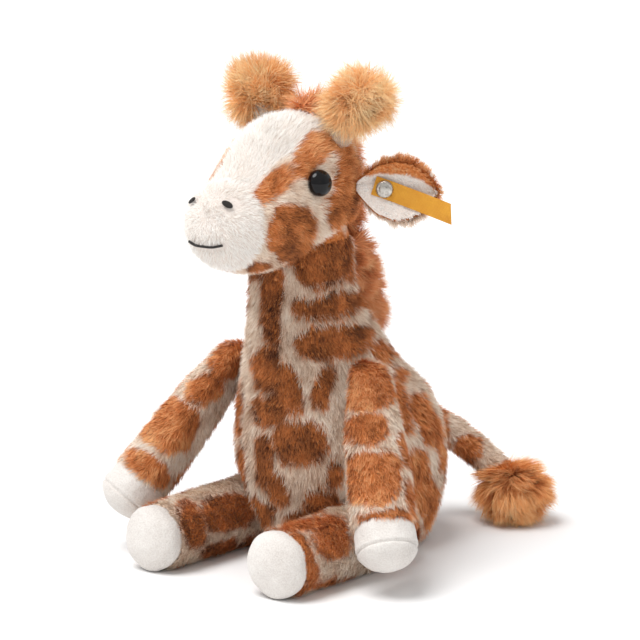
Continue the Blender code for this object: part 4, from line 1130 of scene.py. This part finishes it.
for number, (name, limb) in enumerate(LIMBS.items()):
    def short_of_cap(points, normals, limb=limb):
        """Up to the cap's seam."""
        return limb.place(points) < limb.seam + PILE_PAST_SEAM

    pile = pile_on(f"{name}_pile", skins[name], LIMB_ROOTS, LIMB_PATCHES[name], 110 + number,
                   along_flow(limb.along), LIMB_PILE, others(name), keep=short_of_cap, rise=0.58,
                   width=0.00026, clump=0.50)
    ride(pile, name, "patterned_plush")

TUFT = rounded(box_middle("tail_tuft"))
TAIL_WAY = (TUFT - joint_place("tail_swing")).normalized()
pile = pile_on("tail_pile", tail_skin, TAIL_ROOTS, TAIL_PATCHES, 120,
               along_flow(TAIL_WAY), TAIL_PILE, others("tail"))
ride(pile, "tail", "patterned_plush")


# Pompoms, tuft and mane

BALL_AROUND, BALL_RINGS = 40, 20


def ball_skin(name, centre, halves):
    """A ball of golden backing under long pile."""
    rows = []
    for step in range(1, BALL_RINGS):
        pitch = math.pi * step / BALL_RINGS - math.pi / 2
        across, back = (halves.x * math.cos(pitch), 0, 0), (0, halves.y * math.cos(pitch), 0)
        middle = centre + Vector((0, 0, halves.z * math.sin(pitch)))
        rows.append(ring(middle, Vector(across), Vector(back), BALL_AROUND))
    top = Vector((0, 0, halves.z))
    made = grid_object(name, rows, GOLD_SKIN, tip=centre + top, base=centre - top)
    even_tone(made, 1, 0, BACKING_CHANCE, 0)
    return made


WISP_LEAST_SHARE, WISP_ROOM_SHARE = 0.78, 0.50
WHIRL_SIZE = 0.011


def wisps(points):
    """Lengths of long pile, alike within each clump."""
    clumps = lattice(np.floor(points / WISP_SIZE).astype(np.int64), 44)
    return POMPOM_PILE * (WISP_LEAST_SHARE + WISP_ROOM_SHARE * clumps)


def whirl(seed):
    """A flow with no main direction."""
    def flow(points):
        return noise_vectors(points, WHIRL_SIZE, seed)
    return flow


POMPOM_CORE = Vector((0.0084, 0.0084, 0.0084))
POMPOM_CENTRE = rounded(box_middle("horn_pompom_left"))
HORN_ROOT = NECK_CENTRE + Vector((0.0165, 0.001, 0.046))
STEM_LEAN = (POMPOM_CENTRE - HORN_ROOT).normalized()
STEM_WHITENESS = 0.35
STEM_CHANCE = 0.4
STEM_PILE = 0.0036
STEM_ROOM = 0.0015
POMPOM_ROOTS, STEM_ROOTS, TUFT_ROOTS, MANE_ROOTS = 11000, 5000, 15000, 20000


def make_pompom(number, side, sign):
    """A pompom: a ball of backing with long pile in wisps."""
    core = ball_skin(f"pompom_{side}", mirrored(POMPOM_CENTRE, sign), POMPOM_CORE)
    ride(core, "head", "golden_pile", (f"horn_pompom_{side}",))
    pile = pile_on(f"pompom_pile_{side}", core, POMPOM_ROOTS, None, 130 + number,
                   whirl(60 + 7 * number), wisps, [], finish=GOLD_PILE, rise=0.95, width=0.00036,
                   steps=4, curl=0.7, clump=1.25, clump_size=0.0052, spread=0.45, tousle=1.1)
    ride(pile, "head", "golden_pile")


def make_horn(number, side, sign):
    """A horn's stem and its short cream fur."""
    stem = skin_from(f"horn_{side}", f"horn_stem_{side}", BROWN_SKIN, swell=0, voxel=STEM_VOXEL)
    even_tone(stem, 0, 0, STEM_CHANCE, STEM_WHITENESS)
    ride(stem, "head", "cream_plush", (f"horn_stem_{side}",))
    rng = np.random.default_rng(140 + number)
    roots, normals = scatter(stem, STEM_ROOTS, rng)
    free = unblocked(roots, normals, [TREES["head"]], STEM_ROOM)
    roots, normals = roots[free], normals[free]
    flow = along_flow(mirrored(STEM_LEAN, sign))(roots)
    none = np.zeros(len(roots))
    pile = strands(f"horn_pile_{side}", roots, normals, flow, none + STEM_PILE, BROWN_PILE, rng,
                   (none, none + STEM_WHITENESS), width=0.00026)
    ride(pile, "head", "cream_plush")


for number, (side, sign) in enumerate(SIDES):
    make_pompom(number, side, sign)
    make_horn(number, side, sign)

TUFT_CORE = Vector((0.0105, 0.0105, 0.0092))
core = ball_skin("tuft", TUFT, TUFT_CORE)
ride(core, "tail", "golden_pile", ("tail_tuft",))
TUFT_TOP = TUFT + Vector((-0.006, -0.001, 0.010))
TUFT_OUTWARD, TUFT_WHIRL = 1.4, 0.4


def tuft_flow(points):
    """Away from where the tuft is sewn to the tail."""
    return unit(points - np.array(TUFT_TOP)) * TUFT_OUTWARD + whirl(90)(points) * TUFT_WHIRL


pile = pile_on("tuft_pile", core, TUFT_ROOTS, None, 150, tuft_flow, TUFT_PILE, [],
               finish=GOLD_PILE, rise=0.62, width=0.00036, steps=4, curl=0.45, clump=1.2,
               clump_size=0.0050, spread=0.30, tousle=0.8)
ride(pile, "tail", "golden_pile")

MANE_FLOW = (0.0, 0.8, -1.0)
MANE_INSET = 0.0022


def make_mane(part, body):
    """Half of the mane: its ridge of backing and its tousled pile."""
    ridge = skin_from(f"mane_{part}_backing", f"mane_{part}", UMBER_SKIN, -MANE_INSET, FINE_VOXEL)
    finish_skin(ridge, None, 1)
    ride(ridge, body, "mane_pile", (f"mane_{part}",))
    pile = pile_on(f"mane_{part}_pile", ridge, MANE_ROOTS, None, 160 + len(part),
                   along_flow(MANE_FLOW), MANE_PILE, [TREES[body]], finish=UMBER_PILE, rise=0.80,
                   width=0.00036, steps=3, curl=0.6, clump=1.1, clump_size=0.0045, spread=0.4, tousle=0.9)
    ride(pile, body, "mane_pile")


make_mane("head", "head")
make_mane("neck", "body")


# Ears

EAR_LENGTH, EAR_HALF_WIDTH, EAR_CUP = 0.036, 0.0140, 0.0045
EAR_ROOT = joint_place("ear_left_swing")
EAR_SWEEP = 30.0
EAR_DROOP = 4.0
EAR_WIDTHS = ((0.0, 0.24), (0.12, 0.52), (0.28, 0.84), (0.48, 1.0), (0.68, 0.92), (0.84, 0.68),
              (0.95, 0.38), (1.0, 0.16))
EAR_ROWS = 60
EAR_ACROSS = 44
EAR_LEAST_HALF = 0.0004
CUP_LAST_SHARE = 0.9
FOLD_DEPTH = 0.0013
FOLD_ACROSS, FOLD_ACROSS_WIDTH = 0.35, 0.22
FOLD_ALONG, FOLD_ALONG_WIDTH = 0.25, 0.30
EDGE_ROUNDNESS = 8
LINING_TOP = ((0.0, 0.0045), (0.3, 0.0068), (0.55, 0.0070), (0.75, 0.0058), (0.9, 0.0030), (1.0, 0.0))


def swept(sign, sweep, droop):
    """A direction out to one side, swept back and drooping by two angles."""
    sweep, droop = math.radians(sweep), math.radians(droop)
    level = math.cos(droop)
    return Vector((sign * level * math.cos(sweep), level * math.sin(sweep), -math.sin(droop)))


def ear_matrix(sign):
    """The ear's frame: X along it, Z up its width and -Y out of its lining."""
    along = swept(sign, EAR_SWEEP, EAR_DROOP)
    upward = (Vector((0, 0, 1)) - along * along.z).normalized()
    back = upward.cross(along) * sign
    turn = Matrix((along, back, upward)).transposed().to_4x4()
    return Matrix.Translation(mirrored(EAR_ROOT, sign)) @ turn


def ear_ways(matrix):
    """Along the ear, and out of its lining."""
    turn = matrix.to_3x3()
    return turn @ Vector((1, 0, 0)), turn @ Vector((0, -1, 0))


def ear_point(share, t, shift, shrink):
    """A point of the cupped ear, in its own frame."""
    width = float(np.interp(share, *zip(*EAR_WIDTHS)))
    half = max(width * EAR_HALF_WIDTH - shrink, EAR_LEAST_HALF)
    cup = EAR_CUP * math.sqrt(max(math.sin(math.pi * min(share, CUP_LAST_SHARE)), 0.0))
    fold = FOLD_DEPTH * math.exp(-((t - FOLD_ACROSS) / FOLD_ACROSS_WIDTH) ** 2)
    fold *= math.exp(-((share - FOLD_ALONG) / FOLD_ALONG_WIDTH) ** 2)
    return Vector((share * (EAR_LENGTH - shrink), shift - cup * t * t + fold, t * half))


def ear_sheet(name, matrix, front, thick, shrink, finish):
    """A closed sheet between two surfaces of the ear."""
    rows = []
    for r in range(EAR_ROWS + 1):
        share = r / EAR_ROWS
        near, far = [], []
        for i in range(EAR_ACROSS + 1):
            t = math.sin(math.pi / 2 * (2 * i / EAR_ACROSS - 1))
            round_off = thick / 2 * (1 - math.sqrt(max(1 - t ** EDGE_ROUNDNESS, 0.0)))
            near.append(matrix @ ear_point(share, t, front + round_off, shrink))
            far.append(matrix @ ear_point(share, t, front + thick - round_off, shrink))
        rows.append(near + far[::-1])
    base = sum(rows[0], Vector()) / len(rows[0])
    tip = sum(rows[-1], Vector()) / len(rows[-1])
    return grid_object(name, rows, finish, tip=tip, base=base)


# Each sheet's place behind the ear's middle, its thickness and how much smaller it is than the ear
BACK_SHEET = (0.0, 0.0012, 0.0003)
LINING_SHEET = (-0.0016, 0.0010, 0.0015)
LINING_CHANCE = 0.6
LINING_EDGE = 0.0006
LINING_WANDER_SIZE, LINING_WANDER = 0.003, 0.0005


def in_ear(points, matrix):
    """Places in the ear's own frame."""
    return (points - np.array(matrix.translation)) @ np.array(matrix.to_3x3())


def brown_top(local, points):
    """How far brown the lining is along its top edge."""
    edge = np.interp(local[:, 0] / EAR_LENGTH, *zip(*LINING_TOP))
    wander = noise(points, LINING_WANDER_SIZE, 21) * LINING_WANDER
    return smooth_step(-LINING_EDGE, LINING_EDGE, local[:, 2] - edge + wander)


def ear_cloths(side, matrix):
    """The two sheets of an ear."""
    back = ear_sheet(f"ear_back_{side}_cloth", matrix, *BACK_SHEET, BROWN_SKIN)
    finish_skin(back, None, 1)
    lining = ear_sheet(f"ear_lining_{side}_cloth", matrix, *LINING_SHEET, BROWN_SKIN)
    points = arrays(lining.data)[0]
    top = brown_top(in_ear(points, matrix), points)
    none = np.zeros(len(points))
    tone(lining, np.stack([top, none, none + LINING_CHANCE, 1 - top], axis=1))
    for made, node, slot in ((back, "ear_back", "patterned_plush"), (lining, "ear_lining", "white_plush")):
        ride(made, f"ear_{side}", slot, (f"{node}_{side}",))
    return back, lining


EAR_ROOTS = 16000
EAR_ROOM = 0.0020
EAR_HEIGHT = 0.171
BACK_FACING, LINING_FACING = 0.2, 0.3
BACK_LEAN, RIM_LEAN = 0.6, 1.2
RIM_LENGTH_SHARE = 0.7
EAR_CELL_EDGE, EAR_CELL_SWELL = 0.0011, 0.0012
RIM_START, RIM_SWELL = 0.55, 0.004
EAR_LOW_SHARE = 0.35
EAR_LOW_BAND = (-0.009, -0.004)
LINING_PILE = 0.0020


def ear_back_pile(side, matrix, back, rng):
    """Fur on the back of an ear, longer towards its rim and paler below."""
    along, outward = ear_ways(matrix)
    roots, normals = scatter(back, EAR_ROOTS, rng)
    local = in_ear(roots, matrix)
    kept = normals @ np.array(outward) <= BACK_FACING
    kept &= unblocked(roots, normals, [TREES["head"]], EAR_ROOM)
    roots, normals, local = roots[kept], normals[kept], local[kept]
    rim = np.abs(local[:, 2]) / EAR_HALF_WIDTH
    flow = along_flow(along)(roots) * BACK_LEAN
    flow[:, 2] += np.sign(roots[:, 2] - EAR_HEIGHT) * rim * RIM_LEAN
    inside = cell_patches(roots, 33) + EAR_CELL_SWELL + RIM_SWELL * (rim > RIM_START)
    patch = smooth_step(-EAR_CELL_EDGE, EAR_CELL_EDGE, inside)
    patch *= EAR_LOW_SHARE + (1 - EAR_LOW_SHARE) * smooth_step(*EAR_LOW_BAND, local[:, 2])
    lengths = np.full(len(roots), EAR_PILE) * (1 + RIM_LENGTH_SHARE * rim)
    return strands(f"ear_pile_{side}", roots, normals, flow, lengths, BROWN_PILE, rng,
                   (patch, np.zeros(len(roots))), width=0.00028)


RIVET_ALONG = 0.0125
RIBBON_FALL = 0.25
RIBBON_HALF_CLEAR = 0.0045
RIBBON_BEFORE = 0.0055


def under_ribbon(local):
    """Which roots the ribbon and the rivet lie on."""
    past = local[:, 0] - RIVET_ALONG
    return (np.abs(local[:, 2] + past * RIBBON_FALL) < RIBBON_HALF_CLEAR) & (past > -RIBBON_BEFORE)


def ear_lining_pile(side, matrix, lining, rng):
    """Short fur on the lining, with none under the ribbon."""
    along, outward = ear_ways(matrix)
    roots, normals = scatter(lining, EAR_ROOTS, rng)
    local = in_ear(roots, matrix)
    kept = normals @ np.array(outward) > LINING_FACING
    if side == "left":
        kept &= ~under_ribbon(local)
    roots, normals = roots[kept], normals[kept]
    top = brown_top(local[kept], roots)
    return strands(f"ear_lining_pile_{side}", roots, normals, along_flow(along)(roots),
                   np.full(len(roots), LINING_PILE), BROWN_PILE, rng, (top, 1 - top), width=0.00024,
                   rise=0.35)


for number, (side, sign) in enumerate(SIDES):
    matrix = ear_matrix(sign)
    back, lining = ear_cloths(side, matrix)
    rng = np.random.default_rng(170 + number)
    ride(ear_back_pile(side, matrix, back, rng), f"ear_{side}", "patterned_plush")
    ride(ear_lining_pile(side, matrix, lining, rng), f"ear_{side}", "white_plush")


# Eyes, rivet, ribbon and thread

TURNED_AROUND = 64


def turned(name, profile, origin, along, finish):
    """A profile of radius and height pairs, turned about a direction."""
    z_axis = along.normalized()
    x_axis = z_axis.orthogonal().normalized()
    y_axis = z_axis.cross(x_axis)
    rows = [ring(origin + z_axis * height, x_axis * radius, y_axis * radius, TURNED_AROUND)
            for radius, height in profile[1:-1]]
    base, tip = (origin + z_axis * profile[k][1] for k in (0, -1))
    return grid_object(name, rows, finish, tip=tip, base=base)


SHANK_RADIUS, SHANK_LENGTH = 0.0016, 0.0085
DOME_STEPS = 20


def make_eye(side, middle, facing):
    """A safety eye: its shank, its rim and its dome."""
    profile = [(0, -SHANK_LENGTH), (SHANK_RADIUS, -SHANK_LENGTH), (SHANK_RADIUS, 0), (EYE_RADIUS, 0)]
    profile += [(EYE_RADIUS * math.cos(math.pi / 2 * i / DOME_STEPS),
                 EYE_RIM + EYE_DOME * math.sin(math.pi / 2 * i / DOME_STEPS))
                for i in range(DOME_STEPS + 1)]
    eye = turned(f"eye_dome_{side}", profile, middle, facing, EYE_GLOSS)
    ride(eye, "head", "gloss_black", (f"eye_{side}",))


for (side, _), place in zip(SIDES, EYES):
    make_eye(side, *place)

RIVET_AT = EAR_ROOT + swept(1, EAR_SWEEP, EAR_DROOP) * RIVET_ALONG
_, RIVET_WAY = ear_ways(ear_matrix(1))
RIVET_FRONT = 0.0032
POST_RADIUS, POST_LENGTH = 0.0009, 0.0020
# Radius and height over the rivet's front: its underside, its rolled rim and its low dome
RIVET_HEAD = ((POST_RADIUS, -0.0002), (0.0036, -0.0002), (0.0038, 0), (0.0038, 0.0003), (0.0034, 0.0009),
              (0.0029, 0.0011), (0.0026, 0.0010), (0.0022, 0.0012), (0.0015, 0.0015), (0.0008, 0.0016),
              (0, 0.0016))
profile = [(0, -POST_LENGTH), (POST_RADIUS, -POST_LENGTH)]
profile += [(radius, RIVET_FRONT + rise) for radius, rise in RIVET_HEAD]
rivet = turned("rivet_dome", profile, RIVET_AT, RIVET_WAY, METAL)
ride(rivet, "ear_left", "nickel", ("ear_rivet",))

RIBBON_SLANT = 14.0
RIBBON_ALONG = swept(1, EAR_SWEEP, EAR_DROOP + RIBBON_SLANT)
RIBBON_ACROSS = RIVET_WAY.cross(RIBBON_ALONG)
RIBBON_SIZE = (0.036, 0.0084)
RIBBON_LAP, RIBBON_THICK, RIBBON_BASE = 0.0050, 0.0004, 0.0024
RIBBON_ROWS, RIBBON_ACROSS_STEPS = 60, 14
RIBBON_END_SLANT, RIBBON_END_SHARE = 0.0016, 0.8
RIBBON_BEND, RIBBON_BEND_START, RIBBON_BEND_POWER = 0.0085, 0.0038, 1.2
RIBBON_WAVE, WAVES_ALONG, WAVES_ACROSS = 0.00025, 260, 300


def ribbon_point(along, across, lift):
    """A point of the bent ribbon."""
    bend = RIBBON_BEND * (max(along - RIBBON_BEND_START, 0) / RIBBON_SIZE[0]) ** RIBBON_BEND_POWER
    wave = RIBBON_WAVE * math.sin(along * WAVES_ALONG) * math.cos(across * WAVES_ACROSS)
    return (RIVET_AT + RIBBON_ALONG * along + RIBBON_ACROSS * across
            + RIVET_WAY * (RIBBON_BASE + bend + wave + lift))


def ribbon_ring(r):
    """Places along, across and through the flat ribbon, round one cross-section."""
    steps = range(RIBBON_ACROSS_STEPS + 1)
    slant = smooth_step(RIBBON_END_SHARE, 1.0, r / RIBBON_ROWS)
    places = []
    for level, order in ((0.0, steps), (RIBBON_THICK, reversed(steps))):
        for i in order:
            across = RIBBON_SIZE[1] * (i / RIBBON_ACROSS_STEPS - 0.5)
            along = RIBBON_SIZE[0] * r / RIBBON_ROWS - RIBBON_LAP
            along += RIBBON_END_SLANT * across / RIBBON_SIZE[1] * -2 * slant
            places.append((along, across, level))
    return places


def make_ribbon():
    """The ribbon's cloth, with the places of its weave kept on its points."""
    rows = [ribbon_ring(r) for r in range(RIBBON_ROWS + 1)]
    count = len(rows[0])
    weave = [place for row in rows for place in row]
    points = np.array([tuple(ribbon_point(*place)) for place in weave])
    triangles = tube(len(rows), count)
    for start in (0, RIBBON_ROWS * count):
        for i in range(count // 2 - 1):
            a, b = start + i, start + i + 1
            c, d = start + count - 2 - i, start + count - 1 - i
            triangles += [(a, b, c), (a, c, d)]
    made = mesh_object("ribbon_cloth", points, np.array(triangles), RIBBON, smooth=False)
    layer = made.data.attributes.new("weave", "FLOAT_VECTOR", "POINT")
    layer.data.foreach_set("vector", np.array(weave, dtype=np.float32).ravel())
    return made


ribbon = make_ribbon()
ride(ribbon, "ear_left", "yellow_ribbon", ("ear_ribbon",))

# Small solids of the frame that are shown as they are
CARRIED = {"mouth_embroidery": THREAD, "nostril_left": THREAD, "nostril_right": THREAD,
           "eye_washer_left": WASHER, "eye_washer_right": WASHER, "ear_rivet_back": METAL}
for node, finish in CARRIED.items():
    held = frame["nodes"][node]
    held.data.materials.clear()
    held.data.materials.append(finish)


# Floor and light

FLOOR_REACH = 14.0
FLOOR_COLOUR = (0.90, 0.90, 0.90, 1.0)
FLOOR_ROUGHNESS = 0.9
PLAIN_WHITE = (1.0, 1.0, 1.0, 1.0)
SURROUND_POWER = 0.66
KEY_POWER = 2.5
KEY_SPREAD = 36.0
KEY_SIDE = -0.38
KEY_FRONT = 0.44


def make_stage():
    """A plain white floor that keeps the shadow, and a white surround."""
    nodes = Nodes("floor")
    nodes.set(Base_Color=FLOOR_COLOUR, Roughness=FLOOR_ROUGHNESS, Specular_IOR_Level=0.0)
    corners = np.array([(-1, -1, 0), (1, -1, 0), (1, 1, 0), (-1, 1, 0)]) * FLOOR_REACH
    floor = mesh_object("floor", corners, np.array([(0, 1, 2), (0, 2, 3)]), nodes.material, smooth=False)
    floor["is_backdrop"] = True
    world = bpy.data.worlds.new("surround")
    bpy.context.scene.world = world
    world.use_nodes = True
    tree = world.node_tree
    lit = tree.nodes["Background"]
    lit.inputs["Color"].default_value = PLAIN_WHITE
    lit.inputs["Strength"].default_value = SURROUND_POWER
    path = tree.nodes.new("ShaderNodeLightPath")
    seen = tree.nodes.new("ShaderNodeBackground")
    seen.inputs["Color"].default_value = PLAIN_WHITE
    blend = tree.nodes.new("ShaderNodeMixShader")
    tree.links.new(path.outputs["Is Camera Ray"], blend.inputs[0])
    tree.links.new(lit.outputs[0], blend.inputs[1])
    tree.links.new(seen.outputs[0], blend.inputs[2])
    tree.links.new(blend.outputs[0], tree.nodes["World Output"].inputs["Surface"])


def make_key():
    """A broad soft light from above, in front and to the left."""
    data = bpy.data.lights.new("key", "SUN")
    data.energy = KEY_POWER
    data.angle = math.radians(KEY_SPREAD)
    lamp = bpy.data.objects.new("key", data)
    way = UP + RIGHT * KEY_SIDE + BACK * KEY_FRONT
    lamp.rotation_euler = way.to_track_quat("Z", "Y").to_euler()
    bpy.context.scene.collection.objects.link(lamp)


make_stage()
make_key()

scene = bpy.context.scene
scene.view_settings.view_transform = "Standard"

low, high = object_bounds()
